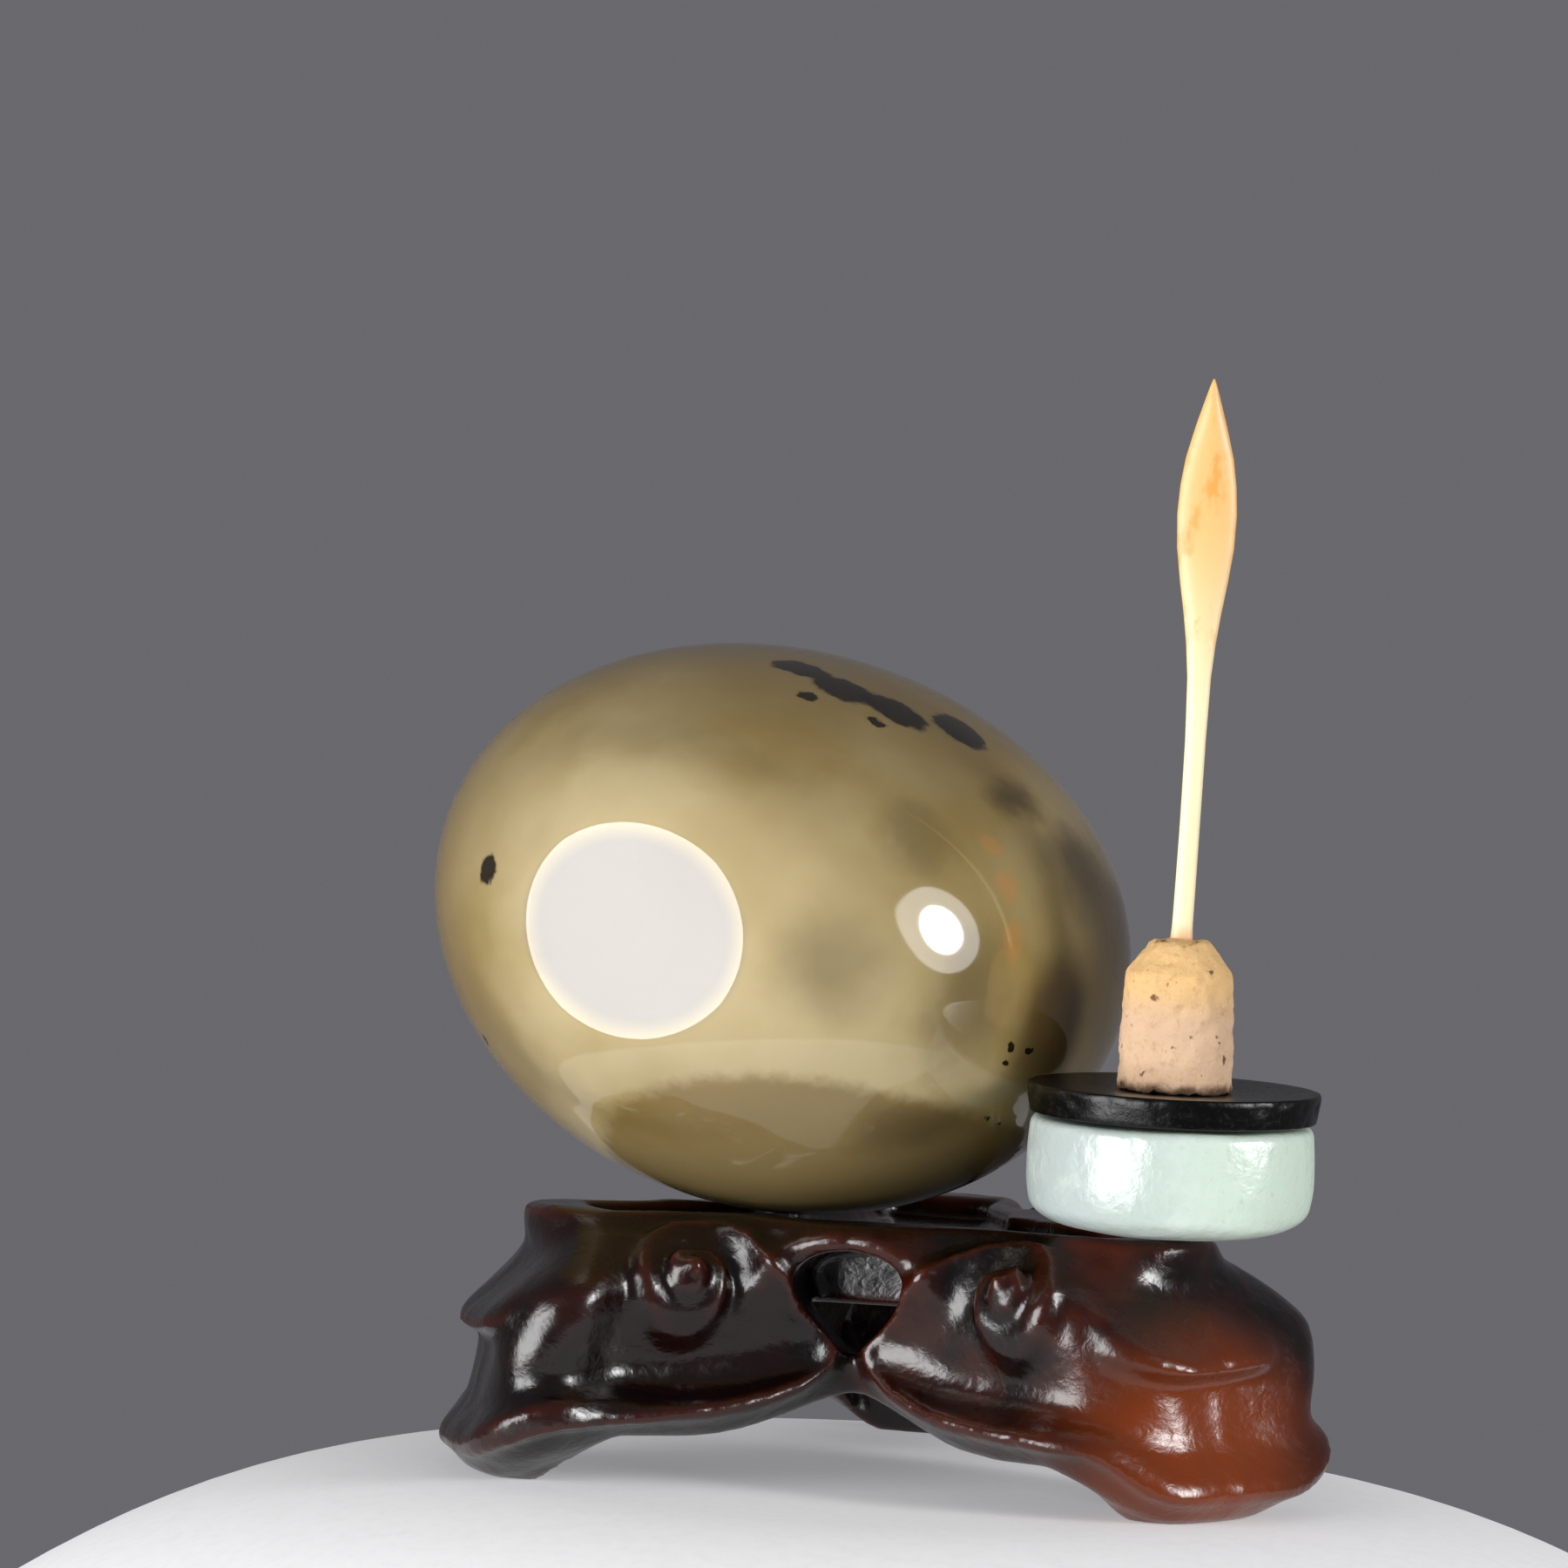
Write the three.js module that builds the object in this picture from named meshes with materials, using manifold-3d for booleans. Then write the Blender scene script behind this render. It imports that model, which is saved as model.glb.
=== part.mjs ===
// A pebble-form agate snuff bottle lying across its carved hardwood stand, with its
// stopper standing upside down on one arm of the stand. Millimetres, +Z up.
// The origin is under the middle of the whole group, on the surface it stands on.
import * as THREE from 'three';
import { mergeVertices } from 'three/addons/utils/BufferGeometryUtils.js';
import Module from 'manifold-3d';

const wasm = await Module();
wasm.setup();

// ---------- driving dimensions ----------
const DEG = Math.PI / 180;
const GROUP_SHIFT = [0.59, -2.47];        // the stand's centre, from the middle of the whole group

const ARM_ANGLES = [210, 330, 90];       // plan directions of the three arms
const LOBE_CENTRE = 20.8;                // where each arm's end begins to round, from the centre
const END_SHARE = 0.42;                  // how much of an arm's way is its rounded end
const RIM_HEIGHT = 18.65;

// One course of the carving per line, from the rim down and under: its distance out and
// its height in the saddle between two arms, on an arm's flank, and at the arm's end.
const COURSES = [
  { saddle: [14.6, 18.4], flank: [5.4, RIM_HEIGHT], end: [26.6, RIM_HEIGHT] },
  { saddle: [15.2, 18.1], flank: [5.9, 18.3], end: [27.1, 18.2] },
  { saddle: [15.5, 17.5], flank: [6.5, 17.5], end: [27.3, 16.6] },
  { saddle: [15.2, 16.7], flank: [8.2, 16.6], end: [27.6, 15.2] },
  { saddle: [14.5, 15.6], flank: [9.7, 15.2], end: [28.0, 14.0] },
  { saddle: [13.8, 14.3], flank: [10.5, 13.6], end: [28.6, 12.6] },
  { saddle: [13.2, 13.0], flank: [10.5, 12.0], end: [29.0, 11.4] },
  { saddle: [12.8, 12.0], flank: [10.1, 10.6], end: [29.2, 10.2] },
  { saddle: [12.4, 10.7], flank: [9.9, 9.2], end: [29.4, 8.8] },
  { saddle: [12.2, 9.6], flank: [9.9, 8.0], end: [29.7, 7.2] },
  { saddle: [12.0, 8.6], flank: [10.3, 6.9], end: [30.4, 5.2] },
  { saddle: [11.9, 7.9], flank: [11.3, 5.9], end: [31.4, 3.5] },
  { saddle: [11.5, 7.2], flank: [11.2, 4.9], end: [31.9, 2.4] },
  { saddle: [11.0, 6.7], flank: [10.0, 3.9], end: [31.1, 0.9] },
  { saddle: [10.4, 6.5], flank: [8.7, 3.4], end: [29.8, 0] },
  { saddle: [8.8, 7], flank: [6.6, 4.2], end: [26.2, 0] },
];
const INSIDE_COURSE = { saddle: [7, 9], flank: [5, 8], end: [22, 7] };
const FLANK_STEPS = 6;
const END_STEPS = 5;

// The outer side of each arm's end swells at its shoulder, more on one side than the other.
const SHOULDER = { reach: 3.9, height: 12.8, spread: 4.0, skirt: 2.9, turn: 50 * DEG, width: 30 * DEG };

const SOCKET = [
  { z: 20, saddle: 9, flank: 4.5, end: 22.4 },
  { z: 16.8, saddle: 8.6, flank: 4.1, end: 22 },
];
const HOLLOW = [
  { z: 12.6, saddle: 9.9, flank: 5.5, end: 21.5 },
  { z: 8.5, saddle: 9.8, flank: 7.2, end: 24 },
  { z: 4, saddle: 9.6, flank: 7.7, end: 25.4 },
  { z: -1, saddle: 9.6, flank: 7.8, end: 25.6 },
];
const WINDOW = { from: 9.4, to: 20, halfWidth: 4.9, top: 16.7, wide: 15.2, bottom: 9.3, lean: 0.4 };
const CHIP = { size: [2.2, 4.2, 1.6], out: 3.6, aside: -2, above: 1.1, tilt: 38 * DEG, turn: -14 * DEG };

const HORN = { at: 26.7, radius: 4.5, height: 11.2 };
const BOSS = { way: 0.53, course: 4.7, radius: 3.6, proud: 1.5, lift: 42 * DEG };
const SCROLL_SLIDE = 0.06;               // how much nearer the arm's end one side's scroll is
const LIP_RADIUS = 0.6;
const LIP_ROUTE = [[0.72, 11.1], [0.82, 11], [0.89, 10.4], [0.93, 9.3], [0.945, 7.6], [0.93, 5.8],
  [0.885, 4.3], [0.81, 3.3], [0.72, 2.9], [0.62, 2.9], [0.53, 3.4], [0.46, 4.4], [0.45, 5.4]];

const BOTTLE = {
  centre: [-8.71, -0.83, 38.66],         // from the stand's centre
  halfWidth: 25.06, halfLength: 27, halfThickness: 19.97,
  turn: -11.3 * DEG, rise: 1.3 * DEG, roll: 15.8 * DEG,
  footLatitude: 20 * DEG,
  wall: 4.3, bore: 4.1, lipRadius: 7.6, lipHeight: 1.0,
};

const STOPPER = {
  place: [21.65, -14.0], base: RIM_HEIGHT + 0.35, gap: 0.3,
  facing: 12 * DEG, tip: 3 * DEG, lean: 0.8 * DEG,
};
const CAP = { radius: 9.74, height: 7.85, dome: 0.85, edge: 1.6 };
const COLLAR = { lowerRadius: 9.75, upperRadius: 10.05, height: 2.0, dish: 0.25 };
const CORK = { radius: 3.87, height: 10.2, topRadius: 2.0, shoulder: 2.5 };
const SPOON = { length: 37.4, stem: 0.68, blade: 2.0, thickness: 0.8 };

// ---------- solids ----------
function toSolid(geometry) {
  const bare = new THREE.BufferGeometry();
  bare.setAttribute('position', geometry.getAttribute('position').clone());
  if (geometry.index) bare.setIndex(geometry.index.clone());
  const welded = mergeVertices(bare, 1e-4);
  const mesh = new wasm.Mesh({
    numProp: 3,
    vertProperties: new Float32Array(welded.getAttribute('position').array),
    triVerts: new Uint32Array(welded.index.array),
  });
  mesh.merge();
  return new wasm.Manifold(mesh);
}

function toGeometry(solid) {
  const mesh = solid.getMesh();
  const geometry = new THREE.BufferGeometry();
  geometry.setAttribute('position', new THREE.BufferAttribute(mesh.vertProperties, 3));
  geometry.setIndex(new THREE.BufferAttribute(mesh.triVerts, 1));
  geometry.computeVertexNormals();
  return geometry;
}

// A closed skin through rings of points that all have the same number of points,
// closed by a fan to a point at each end. The rings run anticlockwise, top one first.
function skinRings(rings, topPoint, bottomPoint) {
  const count = rings[0].length;
  const position = [];
  const index = [];
  for (const ring of rings) for (const point of ring) position.push(...point);
  const top = position.length / 3;
  position.push(...topPoint);
  const bottom = top + 1;
  position.push(...bottomPoint);
  for (let i = 0; i < count; i += 1) {
    const next = (i + 1) % count;
    index.push(top, i, next);
    for (let row = 0; row + 1 < rings.length; row += 1) {
      const a = row * count;
      const b = a + count;
      index.push(a + i, b + i, b + next, a + i, b + next, a + next);
    }
    const last = (rings.length - 1) * count;
    index.push(bottom, last + next, last + i);
  }
  const geometry = new THREE.BufferGeometry();
  geometry.setAttribute('position', new THREE.Float32BufferAttribute(position, 3));
  geometry.setIndex(index);
  return geometry;
}

function mix(a, b, share) {
  return a + (b - a) * share;
}

function ease(share) {
  const s = Math.min(1, Math.max(0, share));
  return s * s * (3 - 2 * s);
}

function bump(value, middle, width) {
  const x = (value - middle) / width;
  return Math.exp(-x * x);
}

// ---------- the carved stand ----------
// A point of one course in an arm's own frame: along the arm, across it, and up.
// way runs from -1 in the saddle on one side, over 0 at the arm's end, to 1 on the other side.
function armPoint(course, way) {
  const side = Math.sign(way) || 1;
  const amount = Math.abs(way);
  const [saddleOut, saddleZ] = course.saddle;
  const [flankOut, flankZ] = course.flank;
  const [endOut, endZ] = course.end;
  if (amount <= END_SHARE) {
    const turn = (amount / END_SHARE) * 90 * DEG;
    const squareness = mix(1, 0.72, ease((RIM_HEIGHT - endZ) / 12));
    const swell = SHOULDER.reach * bump(flankZ, SHOULDER.height, SHOULDER.spread)
      + SHOULDER.skirt * ease((SHOULDER.height - flankZ) / 5) * ease((flankZ - 3) / 2.4);
    const shoulder = (side > 0 ? swell : -0.45 * SHOULDER.skirt * ease((9 - flankZ) / 4))
      * bump(turn, SHOULDER.turn, SHOULDER.width);
    const out = Math.cos(turn) ** squareness * (endOut - LOBE_CENTRE);
    const across = Math.sin(turn) ** squareness * flankOut;
    const along = LOBE_CENTRE + out + shoulder * Math.cos(turn);
    const rise = side > 0 ? ease((turn / DEG - 18) / 48) : ease((turn / DEG - 18) / 51);
    return [along, side * (across + shoulder * Math.sin(turn)), mix(endZ, flankZ, rise)];
  }
  const share = (amount - END_SHARE) / (1 - END_SHARE);
  const saddleAlong = saddleOut * Math.cos(60 * DEG);
  const saddleAcross = saddleOut * Math.sin(60 * DEG);
  const along = mix(LOBE_CENTRE, saddleAlong, share);
  const toSaddle = ease((LOBE_CENTRE - along) / (LOBE_CENTRE - saddleAlong) * 1.15 - 0.15);
  const across = mix(flankOut, saddleAcross, toSaddle ** 1.6);
  return [along, side * across, mix(flankZ, saddleZ, toSaddle ** 1.6)];
}

function place(point, angle) {
  const [along, across, up] = point;
  const cos = Math.cos(angle * DEG);
  const sin = Math.sin(angle * DEG);
  return [along * cos - across * sin, along * sin + across * cos, up];
}

function courseRing(course) {
  const ring = [];
  const ways = [];
  for (let i = 0; i < FLANK_STEPS; i += 1) ways.push(-1 + (1 - END_SHARE) * i / FLANK_STEPS);
  for (let i = -END_STEPS; i <= END_STEPS; i += 1) ways.push(END_SHARE * i / END_STEPS);
  for (let i = 1; i < FLANK_STEPS; i += 1) ways.push(END_SHARE + (1 - END_SHARE) * i / FLANK_STEPS);
  for (const angle of ARM_ANGLES) {
    for (const way of ways) ring.push(place(armPoint(course, way), angle));
  }
  return ring;
}

// The surface between courses, for what is set on it.
function carvedPoint(courseNumber, way, angle) {
  const lower = Math.floor(courseNumber);
  const share = courseNumber - lower;
  const a = armPoint(COURSES[lower], way);
  const b = armPoint(COURSES[Math.min(lower + 1, COURSES.length - 1)], way);
  return place(a.map((value, i) => mix(value, b[i], share)), angle);
}

function standBody() {
  const rings = [...COURSES, INSIDE_COURSE].map(courseRing);
  return toSolid(skinRings(rings, [0, 0, RIM_HEIGHT - 0.2], [0, 0, 9]));
}

// The trefoil recess in the top, and the hollow under the stand.
function trefoilCut(layers) {
  const rings = layers.map(({ saddle, flank, end, z }) => (
    courseRing({ saddle: [saddle, z], flank: [flank, z], end: [end, z] })
  ));
  const centre = (layer) => [0, 0, layer.z];
  return toSolid(skinRings(rings, centre(layers[0]), centre(layers[layers.length - 1])));
}

function alongDirection(geometry, angle, origin = [0, 0, 0]) {
  const out = new THREE.Vector3(Math.cos(angle * DEG), Math.sin(angle * DEG), 0);
  const up = new THREE.Vector3(0, 0, 1);
  const across = new THREE.Vector3().crossVectors(up, out);
  const matrix = new THREE.Matrix4().makeBasis(across, up, out);
  matrix.setPosition(...origin);
  return geometry.applyMatrix4(matrix);
}

// The teardrop window between two arms, under the rolled arch that joins their scrolls.
function windowCut(angle) {
  const { from, to, halfWidth, top, wide, bottom, lean } = WINDOW;
  const shape = new THREE.Shape();
  shape.moveTo(0, bottom);
  shape.bezierCurveTo(1.2, bottom + 1.6, halfWidth, wide - 2.4, halfWidth, wide);
  shape.bezierCurveTo(halfWidth, top, halfWidth * 0.6, top, 0, top);
  shape.bezierCurveTo(-halfWidth * 0.6, top, -halfWidth, top, -halfWidth, wide);
  shape.bezierCurveTo(-halfWidth, wide - 2.4, -1.2, bottom + 1.6, 0, bottom);
  const settings = { depth: to - from, bevelEnabled: false, curveSegments: 5 };
  const geometry = new THREE.ExtrudeGeometry(shape, settings).translate(0, 0, from);
  const slant = lean / (top - bottom);
  geometry.applyMatrix4(new THREE.Matrix4().makeShear(0, 0, slant, 0, 0, 0));
  geometry.translate(-slant * bottom, 0, 0);
  return toSolid(alongDirection(geometry, angle));
}

// The ledge that stands out of an arm's end, sloping on top and undercut below.
function hornSolid(angle) {
  const r = HORN.radius;
  const profile = [[0, -2.4], [1.3, -2.1], [0.84 * r, -0.8], [r, -0.1], [0.9 * r, 0.7],
    [0.4 * r, 2.3], [0, 3]];
  const geometry = new THREE.LatheGeometry(profile.map(([x, y]) => new THREE.Vector2(x, y)), 14);
  geometry.rotateX(90 * DEG);
  const [x, y] = place([HORN.at, 0, 0], angle);
  return toSolid(geometry.translate(x, y, HORN.height));
}

function scrollWay(way, side) {
  const slide = side < 0 ? SCROLL_SLIDE * ease((0.88 - way) / 0.3) : 0;
  return side * (way - slide);
}

// The round boss of a scroll, with its sunk ring and its middle knob.
function bossSolid(side, angle) {
  const r = BOSS.radius;
  const profile = [[0, -2], [0.9 * r, -1.8], [r, 0.2], [0.84 * r, 0.75], [0.55 * r, 0.5],
    [0.3 * r, BOSS.proud], [0, BOSS.proud + 0.1]];
  const geometry = new THREE.LatheGeometry(profile.map(([x, y]) => new THREE.Vector2(x, y)), 11);
  const out = new THREE.Vector3(...place([0, side * Math.cos(BOSS.lift), Math.sin(BOSS.lift)], angle));
  geometry.applyQuaternion(new THREE.Quaternion().setFromUnitVectors(new THREE.Vector3(0, 1, 0), out));
  return toSolid(geometry.translate(...carvedPoint(BOSS.course, scrollWay(BOSS.way, side), angle)));
}

// The raised lip of an arm's leaf: from the foot along the lower edge, up beside the
// window, over the scroll and down to its boss.
function lipSolid(side, angle) {
  const route = LIP_ROUTE.map(([way, course]) => (
    new THREE.Vector3(...carvedPoint(course, scrollWay(way, side), angle))
  ));
  const section = new THREE.Shape();
  for (let i = 0; i < 5; i += 1) {
    const x = LIP_RADIUS * Math.cos(i * 72 * DEG);
    const y = LIP_RADIUS * Math.sin(i * 72 * DEG);
    if (i === 0) section.moveTo(x, y);
    else section.lineTo(x, y);
  }
  const path = new THREE.CatmullRomCurve3(route);
  return toSolid(new THREE.ExtrudeGeometry(section, { steps: 14, extrudePath: path, bevelEnabled: false }));
}

// The break in the upper edge of the front right ledge.
function chipCut() {
  const geometry = new THREE.BoxGeometry(...CHIP.size).rotateY(CHIP.tilt).rotateZ(CHIP.turn);
  geometry.translate(HORN.at + CHIP.out, CHIP.aside, HORN.height + CHIP.above);
  return toSolid(geometry.rotateZ(ARM_ANGLES[1] * DEG));
}

function standSolid() {
  let solid = standBody();
  for (const angle of ARM_ANGLES) {
    solid = solid.add(hornSolid(angle));
    for (const side of [-1, 1]) {
      solid = solid.add(lipSolid(side, angle)).add(bossSolid(side, angle));
    }
  }
  for (const angle of ARM_ANGLES) solid = solid.subtract(windowCut(angle + 60));
  return solid.subtract(trefoilCut(SOCKET)).subtract(trefoilCut(HOLLOW)).subtract(chipCut());
}

// ---------- the agate bottle ----------
// A pebble skin about the bottle's own axis, Y from foot to mouth, X its broad way.
function pebble(halfWidth, halfLength, halfThickness, around, along) {
  const footPlane = halfLength * Math.cos(BOTTLE.footLatitude);
  const geometry = new THREE.SphereGeometry(1, around, along);
  const position = geometry.getAttribute('position');
  for (let i = 0; i < position.count; i += 1) {
    const y = position.getY(i);
    const turn = Math.atan2(position.getZ(i), position.getX(i));
    const lopsided = 1 + 0.007 * Math.sin(3 * turn);
    const footSquare = 1 + 0.17 * ease((-y - 0.7) / 0.25);
    position.setXYZ(
      i,
      position.getX(i) * halfWidth * lopsided,
      Math.max(y * halfLength, -footPlane),
      position.getZ(i) * halfThickness * lopsided * footSquare,
    );
  }
  return geometry;
}

function turned(profile, segments) {
  return new THREE.LatheGeometry(profile.map(([x, y]) => new THREE.Vector2(x, y)), segments);
}

function bottleSolid() {
  const b = BOTTLE;
  const outer = pebble(b.halfWidth, b.halfLength, b.halfThickness, 32, 18);
  const inner = pebble(b.halfWidth - b.wall, b.halfLength - b.wall, b.halfThickness - b.wall, 20, 12);
  const top = b.halfLength + b.lipHeight * 0.4;
  const lip = turned([[0, 20], [b.lipRadius, 23], [b.lipRadius + 0.2, top - 0.8],
    [b.lipRadius - 0.5, top], [0, top]], 32);
  const bore = turned([[0, 12], [b.bore, 12], [b.bore, top - 0.5], [b.bore + 0.5, top + 0.1],
    [b.bore + 0.5, top + 1], [0, top + 1]], 24);
  return toSolid(outer).add(toSolid(lip)).subtract(toSolid(inner)).subtract(toSolid(bore));
}

// ---------- the stopper, standing on its cap ----------
// The cap's outer face, underneath here, is a low dome.
function capGeometry() {
  const { radius: r, height: h, dome: d, edge: e } = CAP;
  return turned([[0, 0], [0.6 * r, 0.4 * d], [r - 0.9 * e, d], [r - 0.2 * e, d + 0.75 * e],
    [r, d + 1.7 * e], [r, h - 0.7], [r - 0.15, h], [0, h]], 28);
}

function collarGeometry() {
  const { lowerRadius: a, upperRadius: b, height: h, dish } = COLLAR;
  return turned([[0, 0], [a, 0], [a + 0.15, 0.3], [b, h - 0.35], [b - 0.2, h], [b - 1.2, h],
    [CORK.radius + 0.6, h - dish], [0, h - dish]], 32);
}

function corkGeometry() {
  const { radius: r, height: h, topRadius: t, shoulder: s } = CORK;
  return turned([[0, 0], [r, 0], [r, 0.4 * h], [r - 0.15, h - s], [mix(r, t, 0.45), h - 0.5 * s],
    [t, h - 0.2], [0.8 * t, h], [0, h]], 20);
}

function spoonGeometry() {
  const { length, stem, blade, thickness } = SPOON;
  const halfWidths = [[0, 1.12 * stem], [0.05, stem], [0.36, 1.02 * stem], [0.5, 1.2 * stem],
    [0.56, 0.54 * blade], [0.64, 0.84 * blade], [0.72, blade], [0.78, blade], [0.85, 0.84 * blade],
    [0.92, 0.52 * blade], [0.975, 0.2 * blade]];
  const points = halfWidths.map(([share, half]) => new THREE.Vector2(half, share * length));
  const right = new THREE.SplineCurve(points).getPoints(18);
  const shape = new THREE.Shape(right);
  shape.lineTo(0, length);
  for (const point of right.reverse()) shape.lineTo(-point.x, point.y);
  const geometry = new THREE.ExtrudeGeometry(shape, { depth: thickness, bevelEnabled: false });
  return geometry.translate(0, 0, -thickness / 2);
}

// ---------- the group ----------
function material(color, roughness) {
  return new THREE.MeshStandardMaterial({ color, roughness, metalness: 0 });
}

function addMesh(parent, name, geometry, finish) {
  const mesh = new THREE.Mesh(geometry, finish);
  mesh.name = name;
  parent.add(mesh);
  return mesh;
}

const group = new THREE.Group();
group.position.set(GROUP_SHIFT[0], GROUP_SHIFT[1], 0);

addMesh(group, 'stand', toGeometry(standSolid()), material(0x47170c, 0.25));

const bottle = addMesh(group, 'bottle', toGeometry(bottleSolid()), material(0xb7aa87, 0.08));
bottle.rotation.set(BOTTLE.rise, BOTTLE.roll, BOTTLE.turn, 'ZXY');
bottle.position.set(...BOTTLE.centre);

const stopper = new THREE.Group();
stopper.position.set(STOPPER.place[0], STOPPER.place[1], STOPPER.base);
stopper.rotation.set(90 * DEG + STOPPER.tip, 0, STOPPER.facing, 'ZXY');
group.add(stopper);
const collarBase = CAP.height + STOPPER.gap;
const corkBase = collarBase + COLLAR.height - COLLAR.dish + STOPPER.gap;
const spoonBase = corkBase + CORK.height + STOPPER.gap;
addMesh(stopper, 'stopper_cap', capGeometry(), material(0xcedfd3, 0.15));
addMesh(stopper, 'stopper_collar', collarGeometry(), material(0x131313, 0.4)).position.y = collarBase;
addMesh(stopper, 'stopper_cork', corkGeometry(), material(0xe5ceb6, 0.9)).position.y = corkBase;
const spoon = addMesh(stopper, 'stopper_spoon', spoonGeometry(), material(0xfce9c1, 0.4));
spoon.position.y = spoonBase;
spoon.rotation.z = -STOPPER.lean;

export default group;
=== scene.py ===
# %% [markdown]
# # A snuff bottle on its carved stand
# The group is an agate bottle lying across a three-armed wood stand, with its
# stopper standing upside down on one arm. The solid model gives every size; this
# lesson gives the pieces their carving, their fine shapes and their finishes.
# Lengths inside a piece are in millimetres, and MM turns them into metres.

# %% Load the solid model
import math

import bmesh
import bpy
from mathutils import Euler, Matrix, Vector, noise
from mathutils.kdtree import KDTree


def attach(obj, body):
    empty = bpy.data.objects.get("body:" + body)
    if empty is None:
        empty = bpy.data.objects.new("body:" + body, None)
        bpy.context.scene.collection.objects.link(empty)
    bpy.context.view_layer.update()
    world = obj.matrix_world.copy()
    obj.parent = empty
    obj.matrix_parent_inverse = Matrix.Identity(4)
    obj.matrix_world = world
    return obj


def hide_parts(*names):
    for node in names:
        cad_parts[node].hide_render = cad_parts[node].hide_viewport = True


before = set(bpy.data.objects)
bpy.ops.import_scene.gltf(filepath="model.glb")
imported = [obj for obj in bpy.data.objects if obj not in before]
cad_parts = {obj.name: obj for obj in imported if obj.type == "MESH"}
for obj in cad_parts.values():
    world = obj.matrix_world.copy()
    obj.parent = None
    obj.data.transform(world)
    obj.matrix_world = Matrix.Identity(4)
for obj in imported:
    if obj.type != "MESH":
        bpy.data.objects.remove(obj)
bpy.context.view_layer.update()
MM = 0.001

# %% [markdown]
# ## The camera
# A long lens stands a little over a third of a metre away, level with the middle
# of the bottle. It is turned 12 degrees from the front, looks up a trifle, and
# leans, so that the whole group tips to the right. A constraint could aim it,
# but its three axes written out as a matrix leave no doubt about the lean.

# %% Camera
STAND_MIDDLE = Vector((0.59, -2.47, 0)) * MM
SIGHT_TURN = math.radians(12)
sight = Vector((-math.sin(SIGHT_TURN), math.cos(SIGHT_TURN), 0))
sideways = Vector((math.cos(SIGHT_TURN), math.sin(SIGHT_TURN), 0))
CAMERA_LEFT, CAMERA_BACK, CAMERA_HEIGHT = 9.1 * MM, 344 * MM, 41 * MM
CAMERA_PITCH, CAMERA_LEAN = math.radians(1.31), math.radians(2.6)
LENS = 110
camera_place = STAND_MIDDLE - CAMERA_LEFT * sideways - CAMERA_BACK * sight + Vector((0, 0, CAMERA_HEIGHT))


def make_camera(place, pitch, lean, lens):
    forward = sight * math.cos(pitch) + Vector((0, 0, math.sin(pitch)))
    upward = sideways.cross(forward)
    right = sideways * math.cos(lean) + upward * math.sin(lean)
    upward = upward * math.cos(lean) - sideways * math.sin(lean)
    data = bpy.data.cameras.new("camera")
    data.lens = lens
    data.sensor_width = 36
    data.clip_start = 0.01
    camera = bpy.data.objects.new("camera", data)
    axes = Matrix((right, upward, -forward)).transposed()
    camera.matrix_world = Matrix.Translation(place) @ axes.to_4x4()
    bpy.context.collection.objects.link(camera)
    return camera


camera = make_camera(camera_place, CAMERA_PITCH, CAMERA_LEAN, LENS)
bpy.context.scene.camera = camera
print("camera at", tuple(round(v / MM) for v in camera_place), "mm")

# %% [markdown]
# ## Light
# Two soft lamps stand to either side: a square one on the left, as high as the
# bottle, and a tall oval one with a bright middle higher up on the right. The
# polished stone shows both as pale shapes, so their size matters as much as their
# power, and area lamps have a size. The rest is a plain grey room.

# %% Lamps
LAMP_TARGET = Vector((-4, -3, 38)) * MM


def aimed(place, target):
    return (target - place).to_track_quat("-Z", "Y").to_matrix().to_4x4()


def add_lamp(name, turn, height, distance, shape, size, power, tall=1):
    """A soft lamp, turned by so many degrees from the camera's side, round the bottle."""
    away = Matrix.Rotation(math.radians(turn), 3, "Z") @ -sight
    place = LAMP_TARGET + away * distance + Vector((0, 0, height))
    data = bpy.data.lights.new(name, "AREA")
    data.shape = shape
    data.size = size
    data.size_y = size * tall
    data.energy = power
    lamp = bpy.data.objects.new(name, data)
    lamp.matrix_world = Matrix.Translation(place) @ aimed(place, LAMP_TARGET)
    bpy.context.collection.objects.link(lamp)
    return lamp


add_lamp("left_softbox", -48, -0.02, 0.9, "SQUARE", 0.66, 14)
add_lamp("right_octabox", 61, 0.21, 0.93, "ELLIPSE", 0.44, 3.8, 1.4)
add_lamp("right_core", 61, 0.21, 0.91, "ELLIPSE", 0.24, 3.8, 1.4)

# %% Room
ROOM_COLOUR = (0.143, 0.141, 0.153, 1)
world = bpy.data.worlds.new("grey_room")
world.use_nodes = True
world.node_tree.nodes["Background"].inputs["Color"].default_value = ROOM_COLOUR
bpy.context.scene.world = world
bpy.context.scene.view_settings.view_transform = "Standard"
print("a grey room of", ROOM_COLOUR[:3])

# %% [markdown]
# ## Ground
# The group stands on a pale cloth over something round, so the ground is flat
# under the stand and falls away in every direction. A disc's rim is drawn out
# ring after ring, and each ring hangs a little lower, as on a large ball.

# %% Ground
TABLE_FLAT = 30 * MM
TABLE_REACH = 110 * MM
TABLE_ROUND = 50 * MM
TABLE_RINGS = 32


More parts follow.
